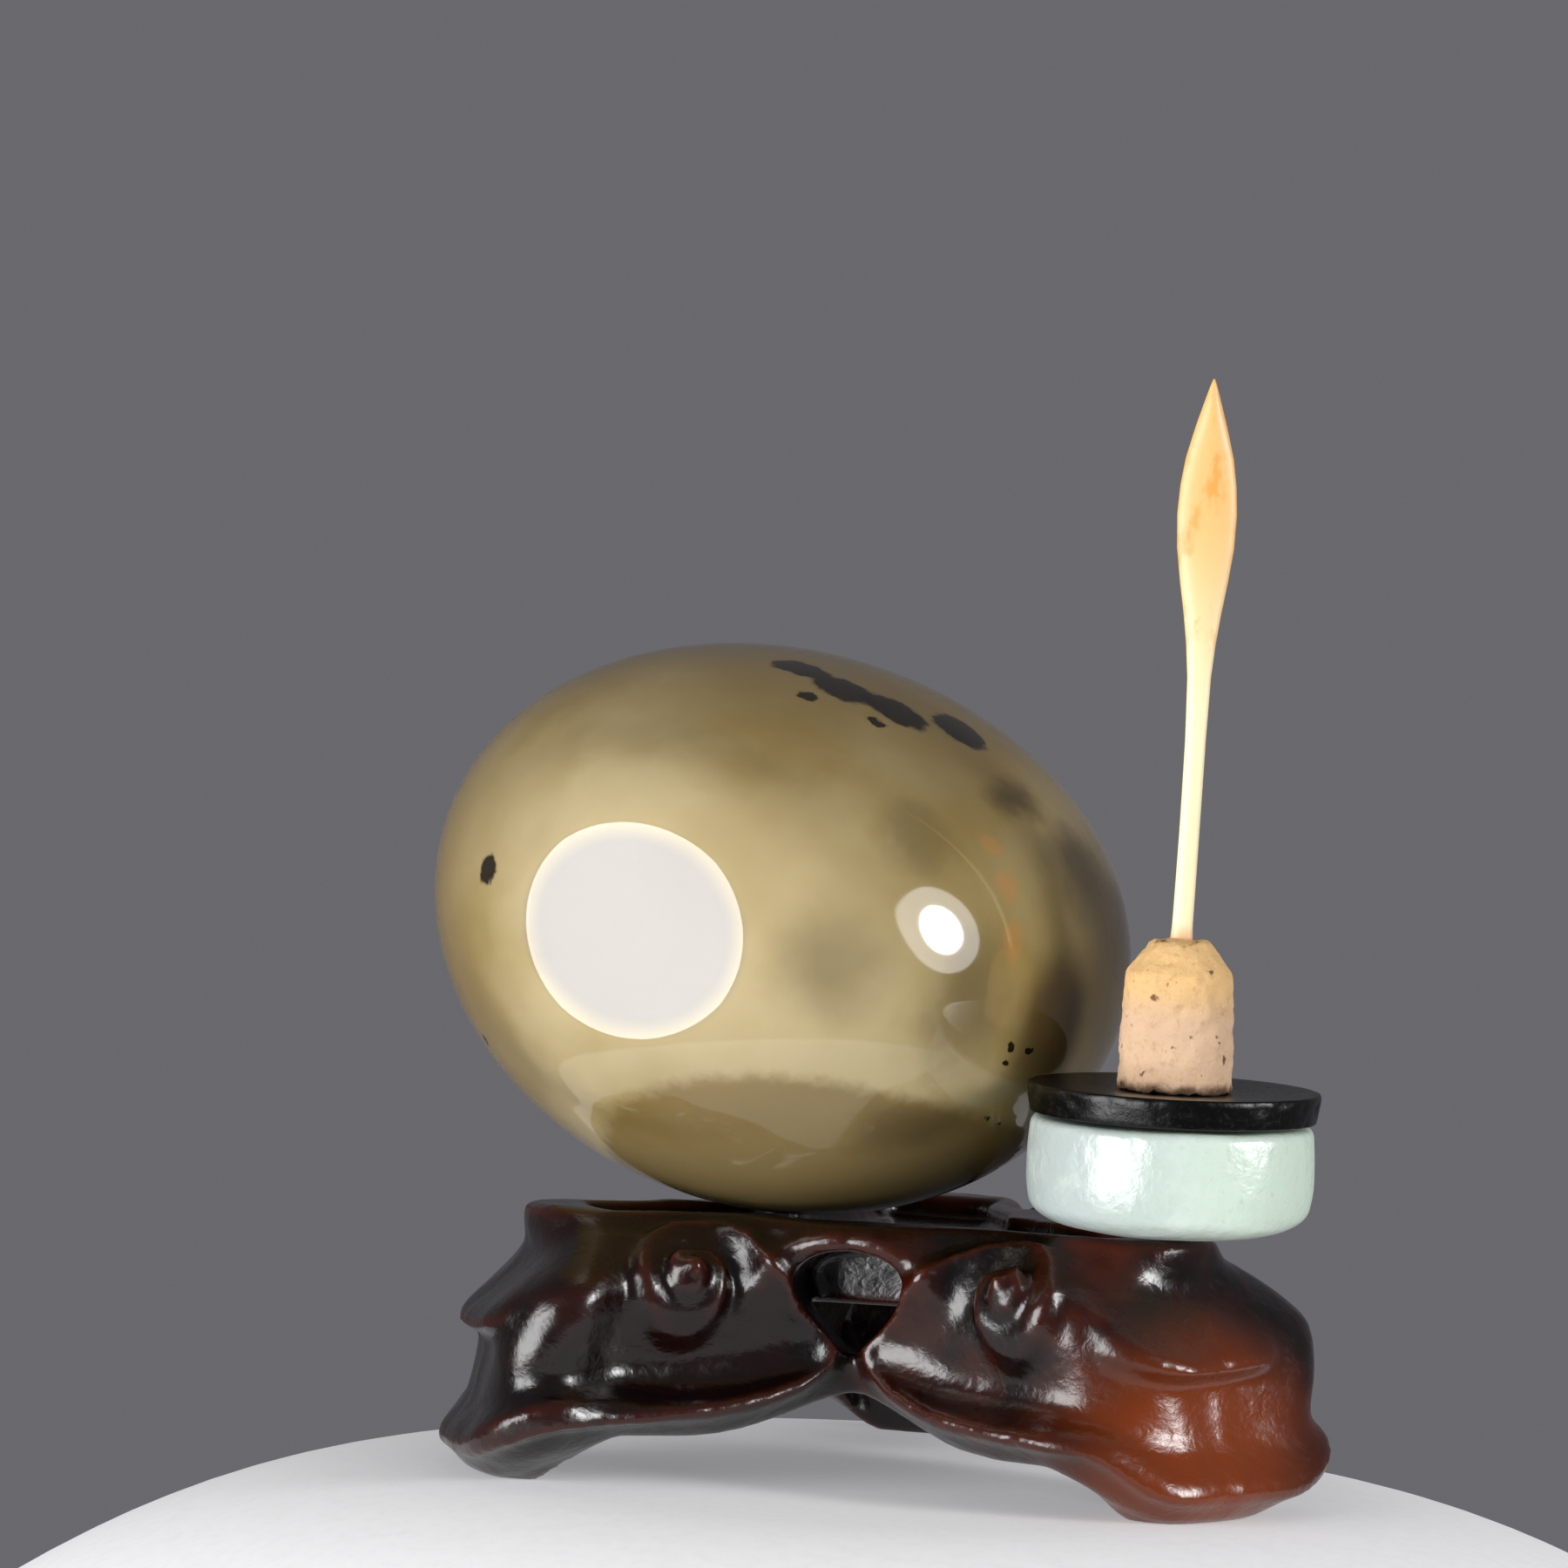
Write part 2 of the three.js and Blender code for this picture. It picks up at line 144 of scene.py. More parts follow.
def make_table():
    bm = bmesh.new()
    bmesh.ops.create_circle(bm, segments=96, radius=TABLE_FLAT, cap_ends=True)
    rim = [e for e in bm.edges if e.is_boundary]
    for step in range(1, TABLE_RINGS + 1):
        out = bmesh.ops.extrude_edge_only(bm, edges=rim)["geom"]
        verts = [g for g in out if isinstance(g, bmesh.types.BMVert)]
        radius = TABLE_FLAT + (TABLE_REACH - TABLE_FLAT) * step / TABLE_RINGS
        drop = (radius - TABLE_FLAT) ** 2 / (2 * TABLE_ROUND)
        for v in verts:
            flat = Vector((v.co.x, v.co.y)).normalized() * radius
            v.co = (flat.x, flat.y, -drop)
        rim = [e for e in bm.edges if e.is_boundary]
    bmesh.ops.recalc_face_normals(bm, faces=bm.faces)
    bmesh.ops.translate(bm, verts=bm.verts, vec=STAND_MIDDLE)
    mesh = bpy.data.meshes.new("table_top")
    bm.to_mesh(mesh)
    bm.free()
    mesh.shade_smooth()
    table = bpy.data.objects.new("table_top", mesh)
    bpy.context.collection.objects.link(table)
    return table


table = make_table()
print("table top", round(2 * TABLE_REACH / MM), "mm across")

# %% [markdown]
# ## Sums on surfaces
# A finish is a small net of nodes. Most of its nodes only add or multiply, so a
# small class lets Python's own signs write them: `1 - mask * 0.5` adds two Math
# nodes. Every other kind of node comes from one method, `node`.

# %% Shader sums


class Level:
    """A number that varies over a surface; Python's signs on it add Math nodes."""

    def __init__(self, finish, socket):
        self.finish = finish
        self.socket = socket

    def math(self, operation, *values):
        settings = {"operation": operation}
        return self.finish.node("ShaderNodeMath", settings, dict(enumerate(values)))

    def __add__(self, other):
        return self.math("ADD", self, other)

    def __radd__(self, other):
        return self.math("ADD", other, self)

    def __sub__(self, other):
        return self.math("SUBTRACT", self, other)

    def __rsub__(self, other):
        return self.math("SUBTRACT", other, self)

    def __mul__(self, other):
        return self.math("MULTIPLY", self, other)

    def __rmul__(self, other):
        return self.math("MULTIPLY", other, self)

    def fade(self, low, high):
        """0 where the number is at low, 1 at high, and a soft step between."""
        settings = {"interpolation_type": "SMOOTHSTEP"}
        inputs = {"Value": self, "From Min": low, "From Max": high}
        return self.finish.node("ShaderNodeMapRange", settings, inputs)


print("signs on a level:", [name for name in vars(Level) if name.startswith("__r")])

# %% [markdown]
# ## A finish
# Each finish begins as one standard shader. Its constants are written straight on
# the shader's sockets, and only what changes over a surface is made of nodes.
# Clouds, warped places and soft-edged spots are enough for stone, wood and cork.
# Every pattern is laid out in space and not painted on a map, because carved and
# spun surfaces have no good map, and a stone's clouds run through it anyway.

# %% A finish


class Finish:
    """A material. Constants go on the shader's own sockets; the rest is made of nodes."""

    def __init__(self, name, constants):
        self.material = bpy.data.materials.new(name)
        self.material.use_nodes = True
        self.tree = self.material.node_tree
        self.shader = self.tree.nodes["Principled BSDF"]
        for socket, value in constants.items():
            self.shader.inputs[socket].default_value = value
        self.where = self.node("ShaderNodeTexCoord", output="Object")

    def node(self, kind, settings=None, inputs=None, output=0):
        made = self.tree.nodes.new(kind)
        for name, value in (settings or {}).items():
            setattr(made, name, value)
        for name, value in (inputs or {}).items():
            if isinstance(value, Level):
                self.tree.links.new(value.socket, made.inputs[name])
            else:
                made.inputs[name].default_value = value
        return Level(self, made.outputs[output])

    def moved(self, vector, middle, turn=(0, 0, 0), size=(1, 1, 1)):
        """The place measured from middle, on turned axes, in steps of size."""
        inputs = {"Vector": vector, "Location": middle, "Rotation": turn, "Scale": size}
        return self.node("ShaderNodeMapping", {"vector_type": "TEXTURE"}, inputs)

    def clouds(self, vector, scale, detail=3, rough=0.5, output=0):
        inputs = {"Vector": vector, "Scale": scale, "Detail": detail, "Roughness": rough}
        return self.node("ShaderNodeTexNoise", {}, inputs, output)

    def warped(self, vector, scale, amount):
        """The place pushed about by clouds, to make an edge ragged."""
        push = self.clouds(vector, scale, 4, 0.6, output="Color")
        centred = self.node("ShaderNodeVectorMath", {"operation": "SUBTRACT"}, {0: push, 1: (0.5,) * 3})
        inputs = {0: centred, 1: (amount,) * 3, 2: vector}
        return self.node("ShaderNodeVectorMath", {"operation": "MULTIPLY_ADD"}, inputs)

    def spot(self, vector, middle, size, soft=0.3):
        """1 inside a rounded spot, 0 outside, with a soft edge."""
        offset = self.moved(vector, middle, size=size)
        length = self.node("ShaderNodeVectorMath", {"operation": "LENGTH"}, {0: offset}, "Value")
        return 1 - length.fade(1 - soft, 1 + soft)

    def axis(self, vector, letter):
        return self.node("ShaderNodeSeparateXYZ", {}, {0: vector}, letter)

    def blend(self, mask, under, over):
        """The colour under, and over on top of it where the mask is 1."""
        inputs = {"Factor": mask, 6: under, 7: over}
        return self.node("ShaderNodeMix", {"data_type": "RGBA"}, inputs, 2)

    def bump(self, height, depth):
        inputs = {"Height": height, "Distance": depth, "Strength": 1.0}
        return self.node("ShaderNodeBump", {}, inputs)

    def set(self, socket, value):
        self.tree.links.new(value.socket, self.shader.inputs[socket])


def linear(red, green, blue):
    """A colour as a screen gives it, 0 to 255, turned into light."""
    return tuple((c / 255) ** 2.2 for c in (red, green, blue)) + (1,)


print("mid grey as light:", round(linear(128, 128, 128)[0], 3))

# %% [markdown]
# ## Two small sums
# `mix` finds a value part of the way between two others, and `ease` bends a share
# from 0 to 1 into a smooth rise, so that one form runs into the next.

# %% Easing and mixing


def ease(share):
    share = min(1, max(0, share))
    return share * share * (3 - 2 * share)


def mix(a, b, share):
    return a + (b - a) * share


print("a quarter of the way, ease gives", ease(0.25))

# %% [markdown]
# ## Turned pieces
# Bottle, cap, collar and cork all begin as a section, half of the piece's outline.
# A ball or a tin of ready-made rings could be squeezed into shape, but a section
# gives every foot, lip and edge its own measure. A spin carries it once round the
# axis. Points on the axis meet there, so they are merged, and the faces are then
# told which way is out.

# %% Spinning a section


def spun(section, steps, axis="Z"):
    """A closed bmesh from a section of (radius, height) points."""
    bm = bmesh.new()
    if axis == "Z":
        verts = [bm.verts.new((r, 0, h)) for r, h in section]
    else:
        verts = [bm.verts.new((r, h, 0)) for r, h in section]
    edges = [bm.edges.new(pair) for pair in zip(verts, verts[1:])]
    turn_axis = (0, 0, 1) if axis == "Z" else (0, 1, 0)
    bmesh.ops.spin(bm, geom=verts + edges, cent=(0, 0, 0), axis=turn_axis,
                   angle=2 * math.pi, steps=steps, use_merge=True)
    bmesh.ops.remove_doubles(bm, verts=bm.verts, dist=1e-5)
    bmesh.ops.recalc_face_normals(bm, faces=bm.faces)
    return bm


rod = spun([(0, 0), (1, 0), (1, 2), (0, 2)], 12)
print("a spun rod has", len(rod.faces), "faces")
rod.free()

# %% Rounding and refining a section


def rounded(section, radius, steps=4):
    """The section with each inner corner rounded off by up to that radius."""
    points = [Vector(section[0])]
    for before, corner, after in zip(section, section[1:], section[2:]):
        before, corner, after = Vector(before), Vector(corner), Vector(after)
        reach = min(radius, (before - corner).length / 2, (after - corner).length / 2)
        start = corner + (before - corner).normalized() * reach
        end = corner + (after - corner).normalized() * reach
        for step in range(steps + 1):
            t = step / steps
            points.append((1 - t) ** 2 * start + 2 * t * (1 - t) * corner + t * t * end)
    points.append(Vector(section[-1]))
    return [tuple(p) for p in points]


def finer(section, step):
    """The section with no stretch longer than step."""
    points = [section[0]]
    for a, b in zip(section, section[1:]):
        count = max(1, math.ceil(math.dist(a, b) / step))
        points += [(mix(a[0], b[0], i / count), mix(a[1], b[1], i / count)) for i in range(1, count + 1)]
    return points


print("a square corner rounds to", len(rounded([(0, 0), (1, 0), (1, 1)], 0.3)), "points")

# %% [markdown]
# ## Finished pieces
# A piece is worked in millimetres and shrunk to metres at the end. Its place is in
# its mesh, and its object stays at the origin. Each piece takes the place of one
# node of the solid model and rides on the same body.

# %% A finished piece


def roughened(bm, amount, scale):
    """Every point pushed in or out a little by clouds of that scale."""
    bm.normal_update()
    for v in bm.verts:
        v.co += v.normal * amount * noise.noise(v.co / scale)


def make_piece(name, bm, node, finish):
    """A finished piece, in millimetres until here, that stands for a node of the solid model."""
    bmesh.ops.scale(bm, verts=bm.verts, vec=(MM, MM, MM))
    mesh = bpy.data.meshes.new(name)
    bm.to_mesh(mesh)
    bm.free()
    mesh.shade_smooth()
    mesh.materials.append(finish.material)
    piece = bpy.data.objects.new(name, mesh)
    bpy.context.collection.objects.link(piece)
    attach(piece, "root")
    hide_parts(node)
    print(name, "has", len(mesh.polygons), "faces")
    return piece


print("pieces will be added to", bpy.context.collection.name)

# %% [markdown]
# ## The agate bottle
# The bottle is one hollowed pebble: a broad way, a thinner way, a flat foot and a
# low lip round a narrow bore. A ball could be stretched and a bore cut into it,
# but a spin gives the foot, the wall, the lip and the bore in one section. It is
# spun round its own length, foot to mouth, and then pressed thinner one way. Near
# the mouth it is pressed less and less, so the lip and the bore stay round.

# %% The bottle's section
BOTTLE_MIDDLE = STAND_MIDDLE + Vector((-8.71, -0.83, 38.66)) * MM
BOTTLE_TURN = (
    Matrix.Rotation(math.radians(-11.3), 4, "Z")
    @ Matrix.Rotation(math.radians(1.3), 4, "X")
    @ Matrix.Rotation(math.radians(15.8), 4, "Y")
)
HALF_WIDTH, HALF_LENGTH, HALF_DEPTH = 25.06, 27.0, 19.97
WALL = 4.3
SPUN_RADIUS = math.sqrt(HALF_WIDTH * HALF_DEPTH)
CAVE_RADIUS = math.sqrt((HALF_WIDTH - WALL) * (HALF_DEPTH - WALL))
CAVE_LENGTH = HALF_LENGTH - WALL
FOOT_LATITUDE = math.radians(19)
ARC_START, ARC_END = 20.5, 158.6


def arc(radius, length, start, end, count):
    """Points along an ellipse, counted in degrees from the foot."""
    turns = [math.radians(mix(start, end, i / count)) for i in range(count + 1)]
    return [(radius * math.sin(t), -length * math.cos(t)) for t in turns]


foot_height = -HALF_LENGTH * math.cos(FOOT_LATITUDE)
foot_radius = SPUN_RADIUS * math.sin(FOOT_LATITUDE)
outside = [(0, foot_height), (foot_radius, foot_height)]
outside += arc(SPUN_RADIUS, HALF_LENGTH, ARC_START, ARC_END, 84)
mouth = [(7.6, 25.6), (7.75, 26.7), (7.1, 27.4), (4.9, 27.4), (4.2, 26.5), (4.1, 22.3)]
cave_floor = -CAVE_LENGTH * math.cos(FOOT_LATITUDE)
inside = arc(CAVE_RADIUS, CAVE_LENGTH, 166, 20, 40) + [(0, cave_floor)]
foot_edge = rounded(outside[:3], 0.35)
lip_edge = rounded([outside[-1]] + mouth + [inside[0]], 0.45)
section = finer(foot_edge[:-1], 0.8) + outside[2:-1] + finer(lip_edge, 0.5)[:-1] + inside
print("section of", len(section), "points")

# %% Pressing the pebble
HOLLOW_SHARE = 0.85
LOPSIDED = 0.007
FOOT_SQUARE = 0.11
BOTTLE_STEPS = 176


def pressed(co):
    """Where a point of the round bottle goes on the pressed one."""
    radius = math.hypot(co.x, co.z)
    hollow = (radius / SPUN_RADIUS) ** 2 + (co.y / HALF_LENGTH) ** 2 < HOLLOW_SHARE
    start = 4.6 if hollow else 8.0
    share = ease((radius - start) / 6) if co.y > 0 else 1
    inset = WALL if hollow else 0
    spun_radius = CAVE_RADIUS if hollow else SPUN_RADIUS
    lopsided = 1 + LOPSIDED * math.sin(3 * math.atan2(co.z, co.x)) * share
    foot_square = 1 + FOOT_SQUARE * ease((-co.y / HALF_LENGTH - 0.7) / 0.24)
    wide = ((HALF_WIDTH - inset) / spun_radius) ** share
    deep = ((HALF_DEPTH - inset) / spun_radius) ** share
    return Vector((co.x * wide * lopsided, co.y, co.z * deep * lopsided * foot_square))


def make_bottle(finish):
    bm = spun(section, BOTTLE_STEPS, axis="Y")
    for v in bm.verts:
        v.co = pressed(v.co)
    bm.transform(BOTTLE_TURN)
    bmesh.ops.translate(bm, verts=bm.verts, vec=BOTTLE_MIDDLE / MM)
    return make_piece("pebble_bottle", bm, "bottle", finish)


broad_side = pressed(Vector((SPUN_RADIUS, 0, 0)))
print("the pebble is", round(2 * broad_side.x, 1), "mm broad")

# %% [markdown]
# ## The agate
# The stone is a cloudy olive honey, clear enough that light wanders in it, so the
# shader lets light travel a few millimetres below the surface. Real glassy depth
# would need rays bent through the wall, which is slow and says little more. The
# marks lie in the stone itself, so every pattern is laid out in three dimensions
# on the bottle's own axes, in millimetres: x along the broad way, y from foot to
# mouth, z along the thin way. A polished stone is very smooth and shines.
# Three tones are painted light as well: a browner top and, in part, a darker underside stand for shade,
# and a grey foot for the left lamp's reflection.

# %% The stone's marks
# each cloud is a middle, its half-sizes and its strength; a spot has no strength
GREY_CLOUDS = [
    ((14.7, -16.3, 10.8), (2.6, 2.6, 2.6), 0.35),
    ((13.6, -22.5, 1.9), (3.4, 3.0, 3.4), 0.4),
    ((20.5, -15.0, 2.0), (2.2, 3.0, 4.5), 0.5),
    ((18.6, -14.0, -8.4), (5.5, 3.5, 2.0), 0.45),
    ((20.9, -1.6, 11.0), (3.2, 4.0, 2.6), 0.8),
    ((23.0, 3.5, 7.0), (2.6, 4.0, 3.0), 0.8),
    ((16.2, -5.4, 14.7), (2.4, 2.4, 1.4), 0.7),
]
AMBER_SPOTS = [
    ((17.4, -11.3, 11.7), (1.4, 0.9, 0.6)),
    ((19.5, -11.4, 9.3), (1.0, 0.9, 1.3)),
    ((21.2, -11.9, 6.1), (0.8, 0.9, 1.6)),
]
DARK_SPOTS = [
    ((-12.7, -23.3, 0.2), (1.0, 1.2, 1.1)),
    ((-12.5, -16.3, -12.4), (0.35, 0.6, 0.7)),
    ((22.9, -10.8, -0.9), (0.5, 0.4, 0.3)),
    ((23.7, -8.8, -1.1), (0.5, 0.4, 0.3)),
    ((22.9, -10.5, -2.2), (0.5, 0.4, 0.3)),
    ((22.3, -8.8, -6.5), (0.4, 0.4, 0.3)),
    ((22.7, -7.1, -6.8), (0.4, 0.4, 0.3)),
    ((-0.9, -8.5, 19.0), (2.2, 1.6, 1.6)),
    ((3.1, -9.4, 18.6), (2.4, 1.9, 1.6)),
    ((6.9, -8.3, 18.2), (2.6, 1.9, 1.6)),
    ((10.4, -4.4, 18.0), (2.2, 2.2, 1.6)),
    ((1.9, -12.6, 17.6), (0.7, 0.6, 0.6)),
    ((6.8, -11.4, 17.3), (0.8, 0.6, 0.6)),
]

print("the stone has", len(GREY_CLOUDS), "clouds and", len(DARK_SPOTS), "dark spots")

# %% Agate finish


def agate_finish():
    f = Finish("polished_agate", {
        "Roughness": 0.06, "IOR": 1.54, "Specular IOR Level": 0.5,
        "Subsurface Weight": 0.55, "Subsurface Radius": (1.0, 0.75, 0.4),
        "Subsurface Scale": 0.004,
    })
    turn = BOTTLE_TURN.to_euler("XYZ")
    place = f.moved(f.where, BOTTLE_MIDDLE, turn, (MM, MM, MM))
    soft_place = f.warped(place, 0.09, 7)
    ragged = f.warped(place, 0.8, 1.4)
    pale = linear(204, 188, 150)
    milky = linear(172, 157, 120)
    olive = linear(140, 122, 76)
    brown = linear(112, 92, 52)
    smoke = linear(62, 50, 34)
    dark = linear(20, 16, 12)
    amber = linear(196, 120, 50)
    grey = linear(112, 110, 112)

    drift = f.clouds(soft_place, 0.055, 3, 0.5)
    colour = f.blend(drift.fade(0.35, 0.7), milky, olive)
    # painted shade: the top of the bottle, along its thin way, is painted browner, for the shade on a top
    # that no lamp lights from above
    top = f.axis(soft_place, "Z").fade(6, 19)
    colour = f.blend(top * 0.8, colour, brown)
    left = f.axis(soft_place, "X").fade(-6, -22)
    colour = f.blend(left * 0.8, colour, brown)
    low_left = f.spot(soft_place, (-13, -14, -12), (10, 12, 9), soft=0.5)
    colour = f.blend(low_left * 0.7, colour, brown)
    centre = f.spot(soft_place, (4, -22, 3), (12, 12, 9), soft=0.5)
    colour = f.blend(centre * 0.35, colour, pale)
    # a darker band at the underside with a crisp edge in the stone; its darkness is partly painted shade,
    # for the underside lying in its own shadow
    low_band_and_shade = f.spot(ragged, (16, -12, -20), (18.5, 40, 14.4), soft=0.05)
    colour = f.blend(low_band_and_shade * 0.75, colour, brown)
    right = f.spot(soft_place, (27, 4, 6), (9, 12, 14), soft=0.5)
    colour = f.blend(right * 0.85, colour, smoke)
    for middle, size, strength in GREY_CLOUDS:
        cloud = f.spot(soft_place, middle, size, soft=0.7)
        colour = f.blend(cloud * strength, colour, smoke)
    for middle, size in DARK_SPOTS:
        fleck = f.spot(ragged, middle, size, soft=0.15)
        colour = f.blend(fleck * 0.95, colour, dark)
    for middle, size in AMBER_SPOTS:
        streak = f.spot(ragged, middle, size, soft=0.4)
        colour = f.blend(streak * 0.25, colour, amber)
    # painted reflection: the flat foot is painted a neutral grey, the tint of the left lamp's reflection
    # that covers it, not the stone's own honey colour
    foot = f.spot(place, (0, -27, 0), (8.5, 4, 7.2), soft=0.12)
    colour = f.blend(foot * 0.75, colour, grey)
    f.set("Base Color", colour)
    return f


make_bottle(agate_finish())

# %% [markdown]
# ## The carved stand
# The stand is one block, carved from all sides into three arms with a leaf on
# each flank, a scroll at the top of each leaf and a ledge on each arm's end. It
# could be sculpted by hand, but sums keep the three arms alike. Its skin is first
# laid out as a fine grid: the columns run round the stand from the saddle between
# two arms, out along a flank, round an arm's end and back, and the rows are
# courses from the rim down and under. A carver's marks are then easy to place,
# because a point is named by its arm, its way and its course.

# %% The courses of the carving
RIM_HEIGHT = 18.65
LOBE_CENTRE = 20.8
END_SHARE = 0.42
ARM_ANGLES = (210, 330, 90)
# distance out and height, in the saddle, on the flank and at the arm's end
COURSES = [
    (14.6, 18.4, 5.4, 18.65, 26.6, 18.65),
    (15.2, 18.1, 5.9, 18.3, 27.1, 18.2),
    (15.5, 17.5, 6.5, 17.5, 27.3, 16.6),
    (15.2, 16.7, 8.2, 16.6, 27.6, 15.2),
    (14.5, 15.6, 9.7, 15.2, 28.0, 14.0),
    (13.8, 14.3, 10.5, 13.6, 28.6, 12.6),
    (13.2, 13.0, 10.5, 12.0, 29.0, 11.4),
    (12.8, 12.0, 10.1, 10.6, 29.2, 10.2),
    (12.4, 10.7, 9.9, 9.2, 29.4, 8.8),
    (12.2, 9.6, 9.9, 8.0, 29.7, 7.2),
    (12.0, 8.6, 10.3, 6.9, 30.4, 5.2),
    (11.9, 7.9, 11.3, 5.9, 31.4, 3.5),
    (11.5, 7.2, 11.2, 4.9, 31.9, 2.4),
    (11.0, 6.7, 10.0, 3.9, 31.1, 0.9),
    (10.4, 6.5, 8.7, 3.4, 29.8, 0.0),
    (8.8, 7.0, 6.6, 4.2, 26.2, 0.0),
    (7.0, 9.0, 5.0, 8.0, 22.0, 7.0),
]


def course_at(number):
    """The six measures of the carving between two courses, on a smooth curve."""
    number = min(max(number, 0), len(COURSES) - 1)
    low = min(int(number), len(COURSES) - 2)
    t = number - low
    a, b = COURSES[max(low - 1, 0)], COURSES[low]
    c, d = COURSES[low + 1], COURSES[min(low + 2, len(COURSES) - 1)]
    if low == 0:
        a = [2 * p - q for p, q in zip(b, c)]
    return [
        q + 0.5 * t * (r - p + t * (2 * p - 5 * q + 4 * r - s + t * (3 * (q - r) + s - p)))
        for p, q, r, s in zip(a, b, c, d)
    ]


print("halfway down, the flank stands", round(course_at(8)[2], 1), "mm out")

# %% The shoulder of an arm
SHOULDER_HEIGHT, SHOULDER_REACH, SHOULDER_SPREAD = 12.8, 3.9, 4.0
SKIRT_REACH, FOOT_INSET = 2.9, 1.3
SHOULDER_TURN, SHOULDER_WIDTH = math.radians(50), math.radians(30)


def swelling(value, middle, width):
    return math.exp(-((value - middle) / width) ** 2)


def shoulder(flank_up, turn, side):
    """How far an arm's end swells on one side, and draws in at the foot on the other."""
    swell = -FOOT_INSET * ease((9 - flank_up) / 4)
    if side > 0:
        skirt = ease((SHOULDER_HEIGHT - flank_up) / 5) * ease((flank_up - 3) / 2.4)
        swell = SHOULDER_REACH * swelling(flank_up, SHOULDER_HEIGHT, SHOULDER_SPREAD) + SKIRT_REACH * skirt
    return swell * swelling(turn, SHOULDER_TURN, SHOULDER_WIDTH) * ease((math.pi / 2 - turn) / 0.45)


print("the shoulder stands", round(shoulder(SHOULDER_HEIGHT, SHOULDER_TURN, 1), 1), "mm proud")

# %% A point on an arm


def arm_point(measures, way):
    """A point on one arm, along it, across it and up; way is -1 to 1, from saddle to saddle."""
    saddle_out, saddle_up, flank_out, flank_up, end_out, end_up = measures
    side = 1 if way >= 0 else -1
    amount = abs(way)
    if amount <= END_SHARE:
        turn = amount / END_SHARE * math.pi / 2
        square = mix(1, 0.72, ease((RIM_HEIGHT - end_up) / 12))
        swell = shoulder(flank_up, turn, side)
        out = max(math.cos(turn), 0) ** square * (end_out - LOBE_CENTRE)
        across = math.sin(turn) ** square * flank_out
        quick = ease((math.degrees(turn) - 18) / (48 if side > 0 else 51))
        slow = min(1, max(0, (math.degrees(turn) - 15) / 70)) ** 1.8
        rise = mix(quick, slow, ease((5.2 - flank_up) / 1.4))
        along = LOBE_CENTRE + out + swell * math.cos(turn)
        return Vector((along, side * (across + swell * math.sin(turn)), mix(end_up, flank_up, rise)))
    share = (amount - END_SHARE) / (1 - END_SHARE)
    saddle_along = saddle_out * 0.5
    saddle_across = saddle_out * math.sqrt(3) / 2
    along = mix(LOBE_CENTRE, saddle_along, share)
    to_saddle = ease((LOBE_CENTRE - along) / (LOBE_CENTRE - saddle_along) * 1.15 - 0.15) ** 1.6
    across = mix(flank_out, saddle_across, to_saddle)
    return Vector((along, side * across, mix(flank_up, saddle_up, to_saddle)))


def on_arm(point, angle):
    return Matrix.Rotation(math.radians(angle), 3, "Z") @ point


def carved(course, way, angle):
    return on_arm(arm_point(course_at(course), way), angle)


print("the foot of an arm reaches", round(carved(12, 0, 0).x, 1), "mm out")

# %% [markdown]
# ## Laying the skin
# A grid is made flat and each of its points is moved to its place on the carving,
# as a tailor lays out cloth, so no list of faces has to be worked out by hand.
# The last column falls on the first and is merged with it. A row drawn together
# to one point closes the top, and another closes the inside.

# %% The skin as a grid
COLUMNS = 3 * 180
ROWS = 150


def make_skin():
    bm = bmesh.new()
    bmesh.ops.create_grid(bm, x_segments=COLUMNS, y_segments=ROWS + 2, size=0.5)
    names = {}
    for v in bm.verts:
        column = round((v.co.x + 0.5) * COLUMNS) % COLUMNS
        row = round((0.5 - v.co.y) * (ROWS + 2))
        arm, step = divmod(column, COLUMNS // 3)
        way = -1 + 2 * step / (COLUMNS // 3)
        if row == 0:
            v.co = (0, 0, RIM_HEIGHT - 0.2)
        elif row == ROWS + 2:
            v.co = (0, 0, 9)
        else:
            course = (row - 1) * (len(COURSES) - 1) / ROWS
            v.co = carved(course, way, ARM_ANGLES[arm])
            names[v] = (arm, way, course)
    bmesh.ops.remove_doubles(bm, verts=bm.verts, dist=1e-4)
    names = {v: name for v, name in names.items() if v.is_valid}
    bmesh.ops.recalc_face_normals(bm, faces=bm.faces)
    bm.normal_update()
    return bm, names


print("the skin's grid is", COLUMNS, "by", ROWS)

# %% [markdown]
# ## Lips, leaves and scrolls
# The carver left a sharp lip standing round each leaf and dished the wood inside
# it. The lip's route is a row of points named by way and course, and it ends in
# the scroll. A cord could be laid along it, but a real lip grows out of the wood
# on one side and drops off sharply on the other. A k-d tree answers quickly how far
# a point of the skin is from the route, and that distance tells how far the point
# is raised or sunk.

# %% The scroll's coil
SCROLL = (0.53, 4.7)
SCROLL_SLIDE = 0.06
SCROLL_LIFT = math.radians(42)
COIL_REACH = 4.8
COIL_TIGHT = 0.82
COIL_CREST, COIL_GROOVE, COIL_KNOB = 1.6, 0.8, 0.7


def scroll_way(way, side):
    """The scroll on one side sits a little nearer the arm's end."""
    slide = SCROLL_SLIDE * ease((0.88 - way) / 0.3) if side < 0 else 0
    return side * (way - slide)


def scroll_frame(arm, side):
    """The scroll's middle, and its directions out of the wood, along the arm and up."""
    angle = ARM_ANGLES[arm]
    middle = carved(SCROLL[1], scroll_way(SCROLL[0], side), angle)
    out = on_arm(Vector((0, side * math.cos(SCROLL_LIFT), math.sin(SCROLL_LIFT))), angle)
    up = on_arm(Vector((0, -side * math.sin(SCROLL_LIFT), math.cos(SCROLL_LIFT))), angle)
    return middle, out, on_arm(Vector((1, 0, 0)), angle), up


def coil_radius(turn):
    """How far the coil's edge is from its middle; it starts over the top and winds in."""
    return COIL_REACH * math.exp(COIL_TIGHT * (turn / (2 * math.pi) - 0.25))


